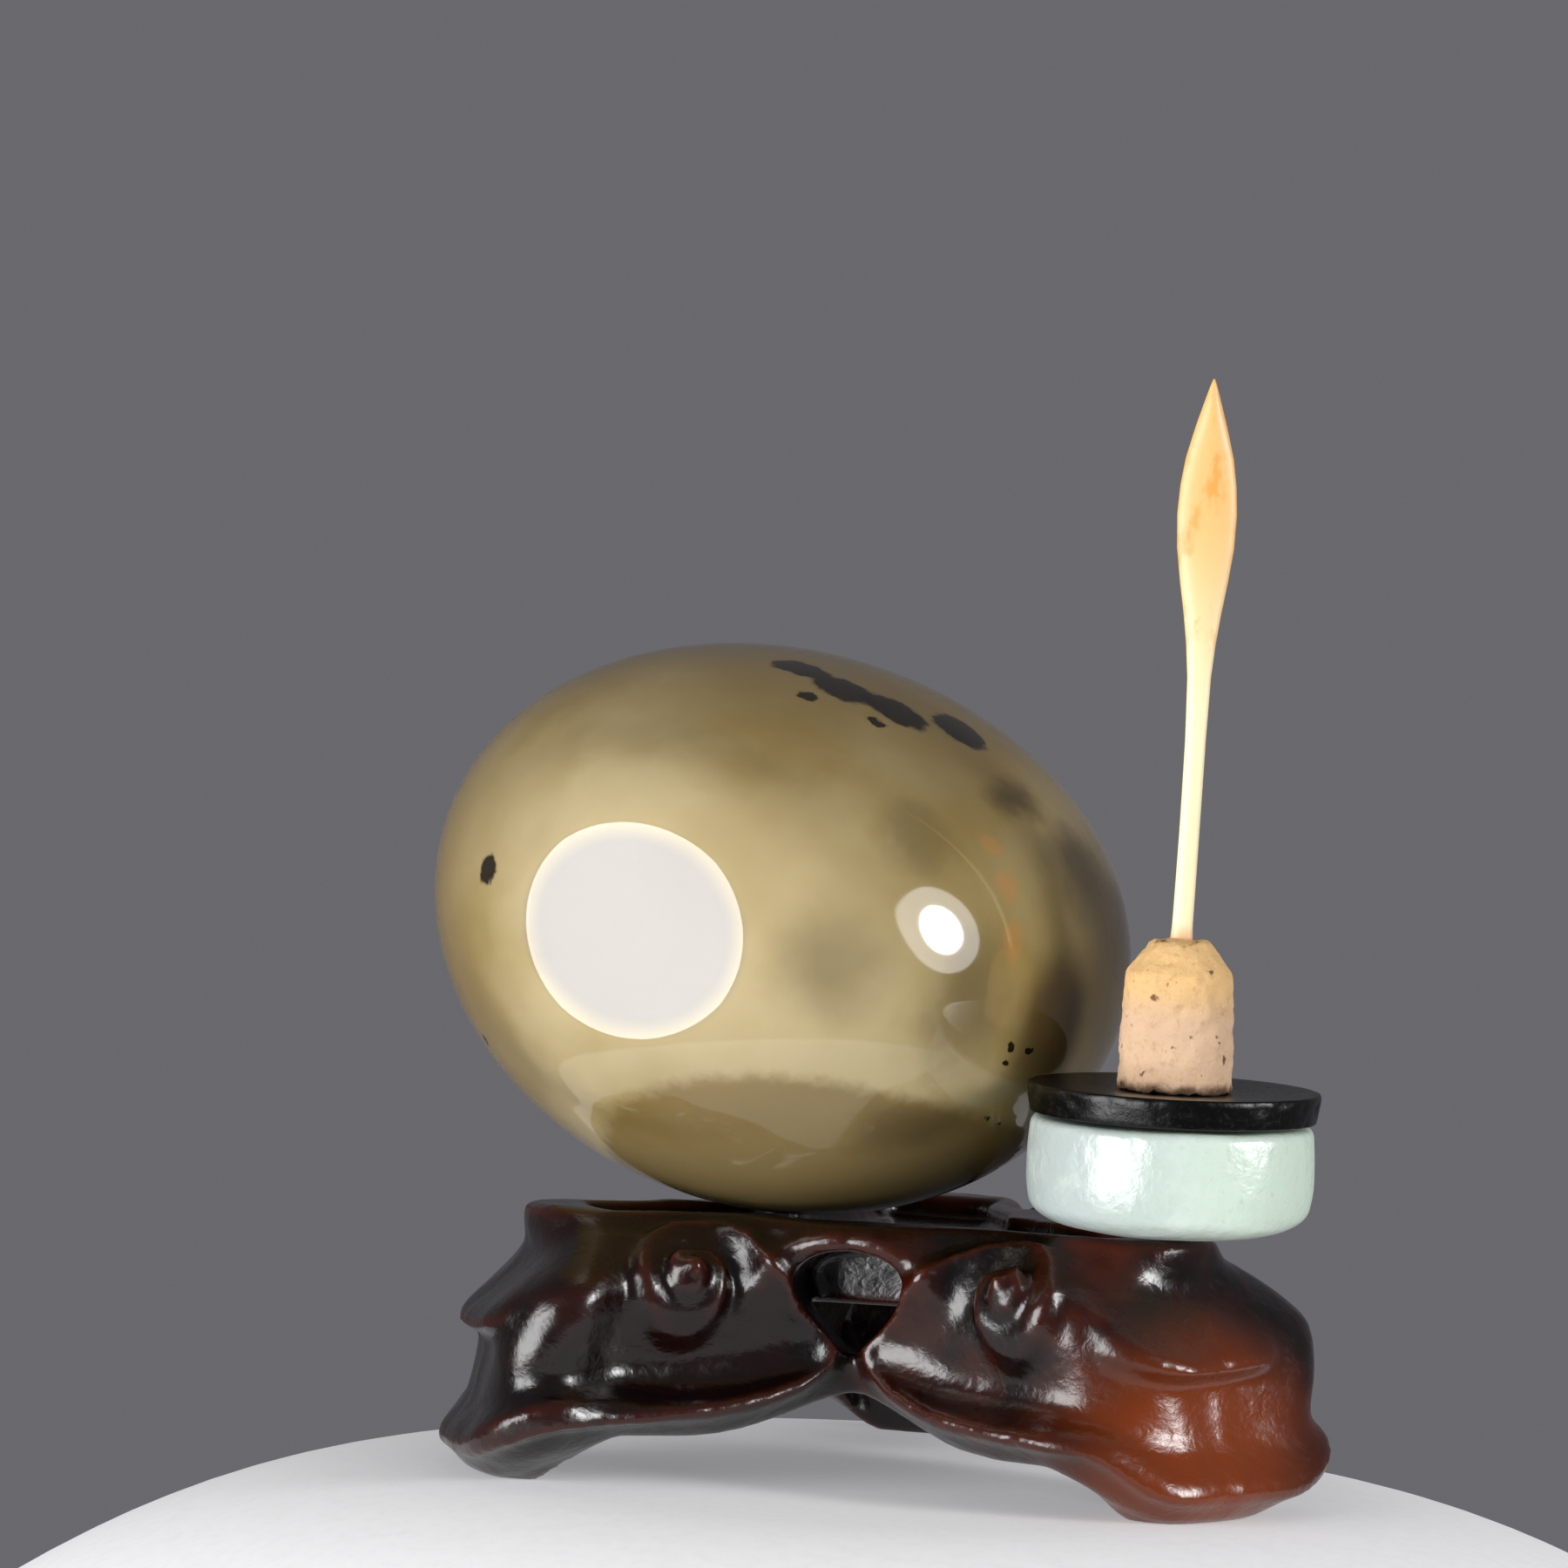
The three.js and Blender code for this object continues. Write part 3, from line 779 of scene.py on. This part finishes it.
def scroll_height(along, up):
    """A crest that rises as the coil winds in, a groove beside it and a knob in the middle."""
    distance = max(math.hypot(along, up), 0.05)
    turn = math.atan2(up, along)
    coil = math.log(distance / coil_radius(turn)) / COIL_TIGHT
    if coil > 0:
        return 0
    ring = max(math.floor(coil), -3)
    wound = (math.pi - turn) / (2 * math.pi) - 1 - ring
    crest = COIL_CREST * ease(wound / 0.8) + 0.25 * max(0, wound - 0.8)
    groove = COIL_GROOVE * ease(wound / 0.5) * (1 - ease((coil - ring) / 0.75))
    knob = COIL_KNOB * swelling(distance, 0, 0.9)
    return crest - groove * ease((distance - 0.5) / 0.6) + knob


print("a scroll is about", round(coil_radius(0) + coil_radius(math.pi), 1), "mm across")

# %% The lip's route
LIP_ROUTE = [
    (0, 12.3), (0.12, 12.35), (0.24, 12.2), (0.36, 11.85), (0.46, 11.5), (0.56, 11.35), (0.66, 11.2),
    (0.76, 11.1), (0.84, 10.9), (0.9, 10.2), (0.935, 9.2), (0.945, 7.8), (0.935, 6.6),
]
LIP_STEPS, BRIDGE_STEPS, COIL_STEPS = 14, 24, 60
COIL_FROM, COIL_TO = math.radians(150), math.radians(45)


def lip_route(arm, side, skin_tree):
    """Points of the lip on the skin, from the toe to the top of the scroll."""
    points = []
    for a, b in zip(LIP_ROUTE, LIP_ROUTE[1:]):
        for step in range(LIP_STEPS):
            share = step / LIP_STEPS
            way, course = mix(a[0], b[0], share), mix(a[1], b[1], share)
            points.append(carved(course, scroll_way(way, side), ARM_ANGLES[arm]))
    middle, out, along, up = scroll_frame(arm, side)
    before = points[-1]
    over_top = []
    for step in range(COIL_STEPS):
        turn = mix(COIL_FROM, COIL_TO, step / (COIL_STEPS - 1))
        spot = middle + coil_radius(turn) * (math.cos(turn) * along + math.sin(turn) * up)
        over_top.append(skin_tree.find(spot)[0])
    bridge = [before.lerp(over_top[0], step / BRIDGE_STEPS) for step in range(1, BRIDGE_STEPS)]
    bridge = [skin_tree.find(spot)[0] for spot in bridge]
    return points + bridge + over_top


print("the lip's route is drawn through", len(LIP_ROUTE), "places")

# %% The lip's height


def tree_of(points):
    tree = KDTree(len(points))
    for number, point in enumerate(points):
        tree.insert(point, number)
    tree.balance()
    return tree


def lip_height(inward, outward_side):
    """A sharp ridge; the leaf sweeps up to it, and the wood drops away beyond it."""
    ridge = 0.55 * swelling(inward, 0, 0.4)
    if outward_side:
        return ridge + 0.6 * swelling(inward, 0, 0.7)
    return ridge + 0.6 * math.exp(-inward / 1.8) - 0.5 * swelling(inward, 3.0, 1.9)


print("the lip stands", round(lip_height(0, False), 2), "mm proud")

# %% The ledge and the rim's end
LEDGE_WAY = (0, -0.075, 0)
LEDGE_REACH = 1.9
LEDGE_HALF = 0.19
COVE_DEPTH = 0.9


def ledge_height(arm, way, course):
    """A beak across the arm's end: a sloping top that breaks off sharply."""
    share = 1 - ((way - LEDGE_WAY[arm]) / LEDGE_HALF) ** 2
    if share <= 0:
        return 0
    crest = 7.0 - 0.7 * (1 - share)
    if course < crest:
        return LEDGE_REACH * share ** 0.7 * ease((course - crest + 3.2) / 3.2) ** 1.3
    return LEDGE_REACH * share ** 0.7 * swelling(course, crest, 0.4)


def rim_cove(way, course):
    """A shallow hollow under the rim, across the arm's end."""
    return -COVE_DEPTH * swelling(course, 3.0, 1.3) * swelling(way, 0, 0.3)


print("the ledge stands", LEDGE_REACH, "mm proud and the cove is", COVE_DEPTH, "mm deep")

# %% The arch over a window
ARCH_HALF, ARCH_MIDDLE, ARCH_RISE = 4.9, 13.6, 3.1
ARCH_HEIGHT = 0.75


def arch_height(co):
    """A rolled band over the top of the window between two arms."""
    out = min(ARM_ANGLES, key=lambda angle: -on_arm(Vector((1, 0, 0)), angle + 60).dot(co)) + 60
    local = on_arm(co, -out)
    if local.x < 9 or local.z < 11:
        return 0
    across, above = local.y / ARCH_HALF, (local.z - ARCH_MIDDLE) / ARCH_RISE
    distance = (math.hypot(across, above) - 1.24) * 3.6
    return ARCH_HEIGHT * swelling(distance, 0, 0.75) * ease((local.z - 12) / 3)


print("the arch's band is", ARCH_HEIGHT, "mm thick")

# %% [markdown]
# ## Carving it all
# Every point of the skin asks each carver's mark how far it is lifted. Marks that
# follow the surface push along its normal, and scrolls and ledges lift along their
# own direction. All moves are worked out before any is made, so that no point
# measures from one that has already moved.

# %% Carving it all


def carve_details(bm, names):
    skin_tree = tree_of([v.co for v in names])
    sides = [(arm, side) for arm in range(3) for side in (-1, 1)]
    routes = {key: lip_route(*key, skin_tree) for key in sides}
    trees = {key: tree_of(routes[key]) for key in sides}
    scrolls = {key: scroll_frame(*key) for key in sides}
    moves = []
    for v, (arm, way, course) in names.items():
        key = (arm, 1 if way >= 0 else -1)
        push = 0
        lift = Vector((0, 0, 0))
        if course < 14:
            place, number, distance = trees[key].find(v.co)
            route = routes[key]
            if distance < 8:
                ahead = route[min(number + 1, len(route) - 1)] - route[max(number - 1, 0)]
                inside = key[1] * ahead.cross(v.co - place).dot(v.normal) > 0
                fading = ease((len(route) - 1 - number) / 35) * (0.3 + 0.7 * ease(number / 45))
                push += lip_height(distance, not inside) * fading
            middle, out, along, up = scrolls[key]
            offset = v.co - middle
            if offset.length < 6.5 and offset.dot(out) > -4:
                lift = out * scroll_height(offset.dot(along), offset.dot(up))
            level_out = on_arm(Vector((1, 0, 0)), ARM_ANGLES[arm])
            lift += level_out * (ledge_height(arm, way, course) + rim_cove(way, course))
            push += arch_height(v.co)
        fine = noise.noise(v.co * 0.3) * 0.14 + noise.noise(v.co * 1.1) * 0.025
        moves.append((v, v.normal * (push + fine * ease(v.co.z / 0.8)) + lift))
    for v, move in moves:
        v.co += move
    print(len(moves), "points carved, the furthest by", round(max(m.length for v, m in moves), 1), "mm")


# %% [markdown]
# ## Cuts
# The top is hollowed as a three-lobed socket for the bottle, the underside is
# hollowed as well, and a drop-shaped window goes in under the arch between two
# arms. One corner of the front right ledge is broken off. Each cut is a block of
# its own that is taken away from the wood, because a clean edge is hard to get by
# pushing points about.

# %% Cutters for the hollows
SOCKET = [(20, 9, 4.5, 22.4), (16.8, 8.6, 4.1, 22)]
HOLLOW = [(12.6, 9.9, 5.5, 21.5), (8.5, 9.8, 7.2, 24), (4, 9.6, 7.7, 25.4), (-1, 9.6, 7.8, 25.6)]
CUTTER_COLUMNS = 90


def lobed_cutter(layers):
    """A three-lobed block to cut with, from (height, saddle, flank, end) layers."""
    bm = bmesh.new()
    bmesh.ops.create_grid(bm, x_segments=CUTTER_COLUMNS, y_segments=len(layers) + 1, size=0.5)
    for v in bm.verts:
        column = round((v.co.x + 0.5) * CUTTER_COLUMNS) % CUTTER_COLUMNS
        row = round((0.5 - v.co.y) * (len(layers) + 1))
        arm, step = divmod(column, CUTTER_COLUMNS // 3)
        height, saddle, flank, end = layers[min(max(row - 1, 0), len(layers) - 1)]
        if row in (0, len(layers) + 1):
            v.co = (0, 0, height)
        else:
            point = arm_point((saddle, height, flank, height, end, height), -1 + 6 * step / CUTTER_COLUMNS)
            v.co = on_arm(point, ARM_ANGLES[arm])
    bmesh.ops.remove_doubles(bm, verts=bm.verts, dist=1e-4)
    bmesh.ops.recalc_face_normals(bm, faces=bm.faces)
    return bm


print("the socket is", round(RIM_HEIGHT - SOCKET[1][0], 2), "mm deep")

# %% Cutters for the windows and the chip
WINDOW_BOTTOM, WINDOW_TOP, WINDOW_HALF = 9.3, 16.7, 5.2
WINDOW_FROM, WINDOW_DEPTH = 9.4, 11
CHIP_SIZE, CHIP_PLACE = (2.2, 4.2, 1.6), (30.3, -2.0, 12.3)
CHIP_TILT = (0, math.radians(38), math.radians(-14))


def window_cutter(angle):
    """A drop with its point down, carried outwards."""
    bm = bmesh.new()
    bmesh.ops.create_circle(bm, segments=40, radius=1, cap_ends=True)
    for v in bm.verts:
        turn = math.atan2(v.co.y, v.co.x)
        share = (1 + math.sin(turn)) / 2
        across = WINDOW_HALF * math.cos(turn) * mix(0.12, 1, share ** 0.75)
        v.co = on_arm(Vector((WINDOW_FROM, across, mix(WINDOW_BOTTOM, WINDOW_TOP, share))), angle)
    drop = list(bm.faces)
    out = bmesh.ops.extrude_face_region(bm, geom=drop)["geom"]
    moved = [g for g in out if isinstance(g, bmesh.types.BMVert)]
    bmesh.ops.translate(bm, verts=moved, vec=on_arm(Vector((WINDOW_DEPTH, 0, 0)), angle))
    bmesh.ops.recalc_face_normals(bm, faces=bm.faces)
    return bm


def chip_cutter():
    bm = bmesh.new()
    bmesh.ops.create_cube(bm, size=1)
    bmesh.ops.subdivide_edges(bm, edges=bm.edges, cuts=7, use_grid_fill=True)
    bmesh.ops.scale(bm, verts=bm.verts, vec=CHIP_SIZE)
    roughened(bm, 0.35, 0.6)
    bmesh.ops.rotate(bm, verts=bm.verts, cent=(0, 0, 0), matrix=Euler(CHIP_TILT, "XYZ").to_matrix())
    bmesh.ops.translate(bm, verts=bm.verts, vec=CHIP_PLACE)
    front_right = Matrix.Rotation(math.radians(ARM_ANGLES[1]), 3, "Z")
    bmesh.ops.rotate(bm, verts=bm.verts, cent=(0, 0, 0), matrix=front_right)
    return bm


print("a window is", round(WINDOW_TOP - WINDOW_BOTTOM, 1), "mm high")

# %% [markdown]
# ## One solid piece
# The raised parts have stretched the skin's faces. Many more rows would help, but
# a voxel remesh is simpler: it reads the skin as one solid and gives it an even
# mesh. The cutters are taken away from that, and a second remesh makes the cut
# walls as even as the rest, ready to be smoothed.

# %% Joining and cutting
VOXEL = 0.34


def loose_object(bm, name):
    mesh = bpy.data.meshes.new(name)
    bm.to_mesh(mesh)
    bm.free()
    thing = bpy.data.objects.new(name, mesh)
    bpy.context.collection.objects.link(thing)
    return thing


def fused(thing, cutters):
    """The mesh of a thing after remesh, cuts and a second remesh."""
    first = thing.modifiers.new("even", "REMESH")
    first.mode = "VOXEL"
    first.voxel_size = VOXEL
    for cutter in cutters:
        cut = thing.modifiers.new("cut", "BOOLEAN")
        cut.operation = "DIFFERENCE"
        cut.object = cutter
        cut.solver = "MANIFOLD"
    second = thing.modifiers.new("even_again", "REMESH")
    second.mode = "VOXEL"
    second.voxel_size = VOXEL
    graph = bpy.context.evaluated_depsgraph_get()
    mesh = bpy.data.meshes.new_from_object(thing.evaluated_get(graph))
    for gone in [thing] + cutters:
        bpy.data.objects.remove(gone)
    return mesh


print("voxels of", VOXEL, "mm")

# %% Smoothing, wear and painted shade
SMOOTH_TIMES = 3
WEAR_AND_SHADE_TIMES = 16


def smoothed(bm, times):
    for time in range(times):
        bmesh.ops.smooth_vert(
            bm, verts=bm.verts, factor=0.5, use_axis_x=True, use_axis_y=True, use_axis_z=True
        )


def mark_wear_and_shade(bm):
    """Keeps how far each point stands out of a smoothed copy: edges above 0, for wear, and hollows below,
    for painted shade.
    """
    bm.normal_update()
    wear_and_shade = bm.verts.layers.float.new("wear_and_shade")
    places = [v.co.copy() for v in bm.verts]
    normals = [v.normal.copy() for v in bm.verts]
    smoothed(bm, WEAR_AND_SHADE_TIMES)
    for v, place, normal in zip(bm.verts, places, normals):
        v[wear_and_shade] = (place - v.co).dot(normal)
        v.co = place


print("wear is measured against", WEAR_AND_SHADE_TIMES, "rounds of smoothing")

# %% Making the stand


def make_stand(finish):
    skin, names = make_skin()
    carve_details(skin, names)
    cutters = [lobed_cutter(SOCKET), lobed_cutter(HOLLOW), chip_cutter()]
    cutters += [window_cutter(angle + 60) for angle in ARM_ANGLES]
    cutters = [loose_object(bm, "cutter") for bm in cutters]
    mesh = fused(loose_object(skin, "block"), cutters)
    bm = bmesh.new()
    bm.from_mesh(mesh)
    smoothed(bm, SMOOTH_TIMES)
    for v in bm.verts:
        v.co.z = max(v.co.z, 0)
    mark_wear_and_shade(bm)
    bmesh.ops.translate(bm, verts=bm.verts, vec=STAND_MIDDLE / MM)
    return make_piece("carved_stand", bm, "stand", finish)


# %% [markdown]
# ## Dark polished hardwood
# The wood is a warm red brown where handling has rubbed its edges, with a pool of
# light painted on the front right arm's end and painted shade, nearly black, in the
# hollows. Fine pores run with the grain. Wax and years of handling give it a hard
# gloss. A painted map would need seams, so the wear and the shade come from the
# shape itself: the value kept on every point tells edges from hollows.

# %% Wood finish


def wood_finish():
    f = Finish("waxed_hardwood", {"IOR": 1.5, "Specular IOR Level": 0.55})
    place = f.moved(f.where, STAND_MIDDLE, (0, 0, 0), (MM, MM, MM))
    soft = f.warped(place, 0.12, 5)
    grain_place = f.moved(soft, (0, 0, 0), (0.2, 0.3, 0.5), (5, 0.45, 0.7))
    grain = f.clouds(grain_place, 0.9, 6, 0.65)
    # the kept value: edges above 0 are lightened by wear, and hollows below 0 take painted shade
    edges = f.node("ShaderNodeAttribute", {"attribute_name": "wear_and_shade"}, output="Fac")
    rubbed = f.clouds(soft, 0.1, 4, 0.55).fade(0.42, 0.7)
    redder = f.axis(soft, "X").fade(-14, 22)
    warm = f.blend(redder, linear(26, 11, 8), linear(66, 27, 14))
    colour = f.blend(rubbed, linear(15, 6, 6), warm)
    colour = f.blend(edges.fade(0.02, 0.25) * 0.55, colour, linear(70, 30, 17))
    # painted shade: the hollows are darkened nearly to black, for the shade that falls in them
    sunk = 1 - edges.fade(-0.2, -0.02)
    colour = f.blend(sunk * 0.8, colour, linear(10, 5, 5))
    colour = f.blend(grain.fade(0.48, 0.72) * 0.5, colour, linear(16, 7, 6))
    # painted light: a pool of warm light painted on the front right arm's end, which faces the right lamp
    painted_light_spot = f.spot(place, (24, -15, 5), (8, 8, 7), soft=0.6)
    colour = f.blend(painted_light_spot * 0.8, colour, linear(124, 56, 20))
    f.set("Base Color", colour)
    f.set("Roughness", 0.2 + grain.fade(0.4, 0.7) * 0.1)
    tool_marks = f.clouds(soft, 0.8, 3, 0.5)
    f.set("Normal", f.bump(grain * 0.3 + tool_marks, 0.00008))
    return f


make_stand(wood_finish())

# %% [markdown]
# ## The stopper
# It stands upside down on one arm: the jade cap is at the bottom, then come a thin
# black collar, the cork that fitted the bore, and a slim bone spoon. It leans
# forward a little. Its four pieces share one set of axes, so each is turned
# upright from its own base and the whole lean is given in one place.

# %% The stopper's place
STOPPER_MIDDLE = STAND_MIDDLE + Vector((21.65, -14.0, 19.0)) * MM
STOPPER_TURN = (
    Matrix.Rotation(math.radians(12), 3, "Z")
    @ Matrix.Rotation(math.radians(3), 3, "X")
)
COLLAR_BASE = 8.15
CORK_BASE = 9.9
SPOON_BASE = 20.0


def on_stopper(bm, base):
    """Lifts a turned piece to its base on the stopper, which leans forward a little."""
    bmesh.ops.translate(bm, verts=bm.verts, vec=(0, 0, base))
    bmesh.ops.rotate(bm, verts=bm.verts, cent=(0, 0, 0), matrix=STOPPER_TURN)
    bmesh.ops.translate(bm, verts=bm.verts, vec=STOPPER_MIDDLE / MM)


def place_on_stopper(f, base=0):
    """Where a point lies on the stopper's own axes, in millimetres above base."""
    middle = STOPPER_MIDDLE + STOPPER_TURN @ Vector((0, 0, base)) * MM
    return f.moved(f.where, middle, STOPPER_TURN.to_euler("XYZ"), (MM, MM, MM))


print("the stopper's lean:", [round(math.degrees(a), 1) for a in STOPPER_TURN.to_euler("XYZ")])

# %% [markdown]
# ## The jade cap
# A low drum of pale jade whose outer face, now underneath, is a soft dome. A tin
# with bevelled edges would look machined; a spun section with long soft corners,
# pushed about very slightly, looks ground by hand. Jade is a cloudy, polished
# stone, greyer at one side and greener at the other, and light goes into it.

# %% The cap's shape


def make_cap(finish):
    section = rounded([(0, 0), (5.8, 0.35), (8.2, 0.85), (9.4, 1.7), (9.72, 3.5),
                       (9.74, 5.8), (9.62, 7.85), (0, 7.85)], 0.7, 6)
    bm = spun(finer(section, 0.45), 144)
    roughened(bm, 0.12, 5)
    on_stopper(bm, 0)
    return make_piece("jade_cap", bm, "stopper_cap", finish)


print("the cap rests", STOPPER_MIDDLE.z / MM, "mm up")

# %% Jade


def jade_finish():
    f = Finish("pale_jade", {
        "Roughness": 0.27, "IOR": 1.6, "Subsurface Weight": 0.5,
        "Subsurface Radius": (1.0, 1.1, 0.95), "Subsurface Scale": 0.003,
    })
    place = place_on_stopper(f)
    soft = f.warped(place, 0.25, 3)
    side = f.axis(soft, "X").fade(-8, 8)
    colour = f.blend(side, linear(164, 174, 172), linear(200, 218, 202))
    colour = f.blend(f.clouds(soft, 0.35, 4, 0.6).fade(0.45, 0.7) * 0.5, colour, linear(198, 208, 200))
    colour = f.blend(f.clouds(place, 1.1, 4, 0.7).fade(0.55, 0.72) * 0.4, colour, linear(158, 182, 164))
    f.set("Base Color", colour)
    f.set("Normal", f.bump(f.clouds(place, 0.9, 4, 0.55), 0.00012))
    return f


make_cap(jade_finish())

# %% [markdown]
# ## The black collar
# A thin turned disc with a sharp, nicked edge and a slightly dished top. The nicks
# could be cut one by one, but a noise that only ever takes material away gives
# the same chance wear. It is black, rubbed grey in places.

# %% The collar's shape
COLLAR_SOUND = 9


def make_collar(finish):
    section = rounded([(0, 0), (9.7, 0), (9.98, 1.65), (9.9, 2.0), (8.9, 1.98),
                       (4.5, 1.72), (0, 1.72)], 0.12, 2)
    bm = spun(finer(section, 0.3), 160)
    bm.normal_update()
    for v in bm.verts:
        radius = math.hypot(v.co.x, v.co.y)
        if radius > COLLAR_SOUND:
            nick = max(0, noise.noise(v.co * 0.9) - 0.25) * 0.35
            v.co.x -= v.co.x / radius * nick
            v.co.y -= v.co.y / radius * nick
    on_stopper(bm, COLLAR_BASE)
    return make_piece("black_collar", bm, "stopper_collar", finish)


print("nicks begin", COLLAR_SOUND, "mm out")

# %% Rubbed black


def collar_finish():
    f = Finish("rubbed_black", {"IOR": 1.5, "Specular IOR Level": 0.3})
    place = place_on_stopper(f, COLLAR_BASE)
    scuff = f.clouds(place, 2.4, 6, 0.75).fade(0.5, 0.75)
    f.set("Base Color", f.blend(scuff * 0.35, linear(6, 6, 6), linear(46, 44, 43)))
    f.set("Roughness", 0.28 + scuff * 0.3)
    f.set("Normal", f.bump(f.clouds(place, 3.2, 5, 0.6), 0.00003))
    return f


make_collar(collar_finish())

# %% [markdown]
# ## The cork
# A plug with a long chamfer at its top, pitted all over, with a ragged line of old
# glue round its foot. Cork is full of small holes, so the pits are pushed into the
# mesh where they show in the outline, and the finest grain is left to the bump.

# %% The cork's shape
GLUED_HEIGHT = 1.5


def make_cork(finish):
    section = rounded([(0, 0), (3.84, 0), (3.84, 4), (3.68, 7.9), (1.95, 10.15), (0, 10.3)], 0.3, 4)
    bm = spun(finer(section, 0.25), 96)
    bm.normal_update()
    for v in bm.verts:
        grain = noise.noise(v.co * 0.9) * 0.16 + noise.noise(v.co * 3.1) * 0.08
        pit = max(0, noise.noise(v.co * 2.2 + Vector((7, 3, 1))) - 0.42) * 0.9
        ragged = 0.5 * max(0, noise.noise(Vector((v.co.x, v.co.y, 0)) * 1.4)) * ease(1 - v.co.z / 1.2)
        v.co += v.normal * (grain - pit)
        if v.co.z < GLUED_HEIGHT:
            v.co.z += ragged
    on_stopper(bm, CORK_BASE)
    return make_piece("cork_plug", bm, "stopper_cork", finish)


print("glue shows below", GLUED_HEIGHT, "mm")

# %% Old cork


def cork_finish():
    f = Finish("old_cork", {"Roughness": 0.85, "Specular IOR Level": 0.25})
    place = place_on_stopper(f, CORK_BASE)
    height = f.axis(f.warped(place, 0.5, 1.5), "Z")
    colour = f.blend(height.fade(4.5, 7.5), linear(205, 172, 142), linear(216, 176, 122))
    grain = f.clouds(place, 1.6, 5, 0.7)
    colour = f.blend(grain.fade(0.5, 0.75) * 0.55, colour, linear(168, 128, 88))
    pits = f.clouds(place, 1.15, 2, 0.5).fade(0.66, 0.74)
    colour = f.blend(pits * 0.85, colour, linear(88, 54, 32))
    glue = 1 - f.axis(f.warped(place, 0.9, 1.2), "Z").fade(0.1, 0.9)
    colour = f.blend(glue * 0.9, colour, linear(58, 34, 18))
    f.set("Base Color", colour)
    f.set("Normal", f.bump(f.clouds(place, 3.5, 6, 0.7), 0.0001))
    return f


make_cork(cork_finish())

# %% [markdown]
# ## The bone spoon
# A thin stem that spreads into a pointed leaf. A flat outline could be cut out and
# thickened, but a stem that is round and a leaf that is hollowed want a rod: a
# small circle is extruded ring by ring, and each ring is then pressed to its own
# width and thickness. Bone is smooth and warm, stained orange in the leaf.

# %% The spoon's widths
SPOON_LENGTH = 38.1
SPOON_RINGS = 120
SPOON_LEAN = math.radians(0.8)
STEM_HALF_THICK, LEAF_HALF_THICK = 0.42, 0.36
# share of the length, and half the width there
SPOON_WIDTHS = [
    (0, 0.78), (0.03, 0.7), (0.2, 0.68), (0.36, 0.7), (0.47, 0.8), (0.53, 1.0), (0.58, 1.25),
    (0.64, 1.62), (0.7, 1.93), (0.76, 2.02), (0.81, 1.9), (0.86, 1.62), (0.92, 1.02),
    (0.965, 0.5), (0.99, 0.2), (1, 0.06),
]


def from_table(table, share):
    """A value on the straight line between two of the table's entries."""
    for (a, low), (b, high) in zip(table, table[1:]):
        if share <= b:
            return mix(low, high, (share - a) / (b - a))
    return table[-1][1]


print("the leaf is", 2 * max(half for share, half in SPOON_WIDTHS), "mm wide")

# %% The spoon


def make_spoon(finish):
    bm = bmesh.new()
    bmesh.ops.create_circle(bm, segments=20, radius=1, cap_ends=True)
    top = list(bm.faces)
    for ring in range(SPOON_RINGS):
        out = bmesh.ops.extrude_face_region(bm, geom=top)["geom"]
        if ring:
            bmesh.ops.delete(bm, geom=top, context="FACES_ONLY")
        top = [g for g in out if isinstance(g, bmesh.types.BMFace)]
        lifted = {v for face in top for v in face.verts}
        bmesh.ops.translate(bm, verts=list(lifted), vec=(0, 0, SPOON_LENGTH / SPOON_RINGS))
    bmesh.ops.recalc_face_normals(bm, faces=bm.faces)
    for v in bm.verts:
        share = v.co.z / SPOON_LENGTH
        half = from_table(SPOON_WIDTHS, share)
        leaf = ease((share - 0.45) / 0.2)
        thick = mix(STEM_HALF_THICK, LEAF_HALF_THICK, leaf) * min(1, (1 - share) / 0.05 + 0.25)
        across = v.co.x
        v.co.x = across * half
        v.co.y = v.co.y * thick + leaf * 0.18 * (across ** 2 - 0.5) * ease((1 - share) / 0.08)
        v.co.x += v.co.z * math.tan(SPOON_LEAN) + 0.12 * math.sin(share * math.pi * 1.4)
    on_stopper(bm, SPOON_BASE)
    return make_piece("bone_spoon", bm, "stopper_spoon", finish)


print("the spoon is", SPOON_LENGTH, "mm long")

# %% Stained bone


def bone_finish():
    f = Finish("stained_bone", {
        "Roughness": 0.4, "Subsurface Weight": 0.25,
        "Subsurface Radius": (1.0, 0.7, 0.4), "Subsurface Scale": 0.001,
    })
    place = place_on_stopper(f, SPOON_BASE)
    along = f.axis(place, "Z")
    colour = f.blend(along.fade(14, 30), linear(236, 220, 178), linear(236, 178, 114))
    blotch = f.clouds(f.moved(place, (0, 0, 0), size=(1, 1, 2.5)), 0.7, 4, 0.6)
    stain = blotch.fade(0.5, 0.68) * along.fade(14, 24)
    colour = f.blend(stain * 0.85, colour, linear(236, 150, 72))
    joint = 1 - along.fade(0.1, 1.6)
    colour = f.blend(joint * 0.6, colour, linear(190, 120, 70))
    f.set("Base Color", colour)
    return f


make_spoon(bone_finish())

# %% [markdown]
# ## The table top
# Only the pieces above are the object. The table top is a pale, plain cloth. A
# third lamp from above would brighten it, but would also show in the stone, so
# the cloth glows a very little instead.

# %% Table finish


def table_finish():
    f = Finish("pale_cloth", {
        "Roughness": 0.9, "Specular IOR Level": 0.2,
        "Emission Color": (0.9, 0.9, 0.93, 1), "Emission Strength": 0.27,
    })
    cloth = f.clouds(f.where, 900, 3, 0.6)
    f.set("Base Color", f.blend(cloth, linear(212, 212, 212), linear(232, 232, 233)))
    return f


table.data.materials.append(table_finish().material)
print("table top finished")

# %% [markdown]
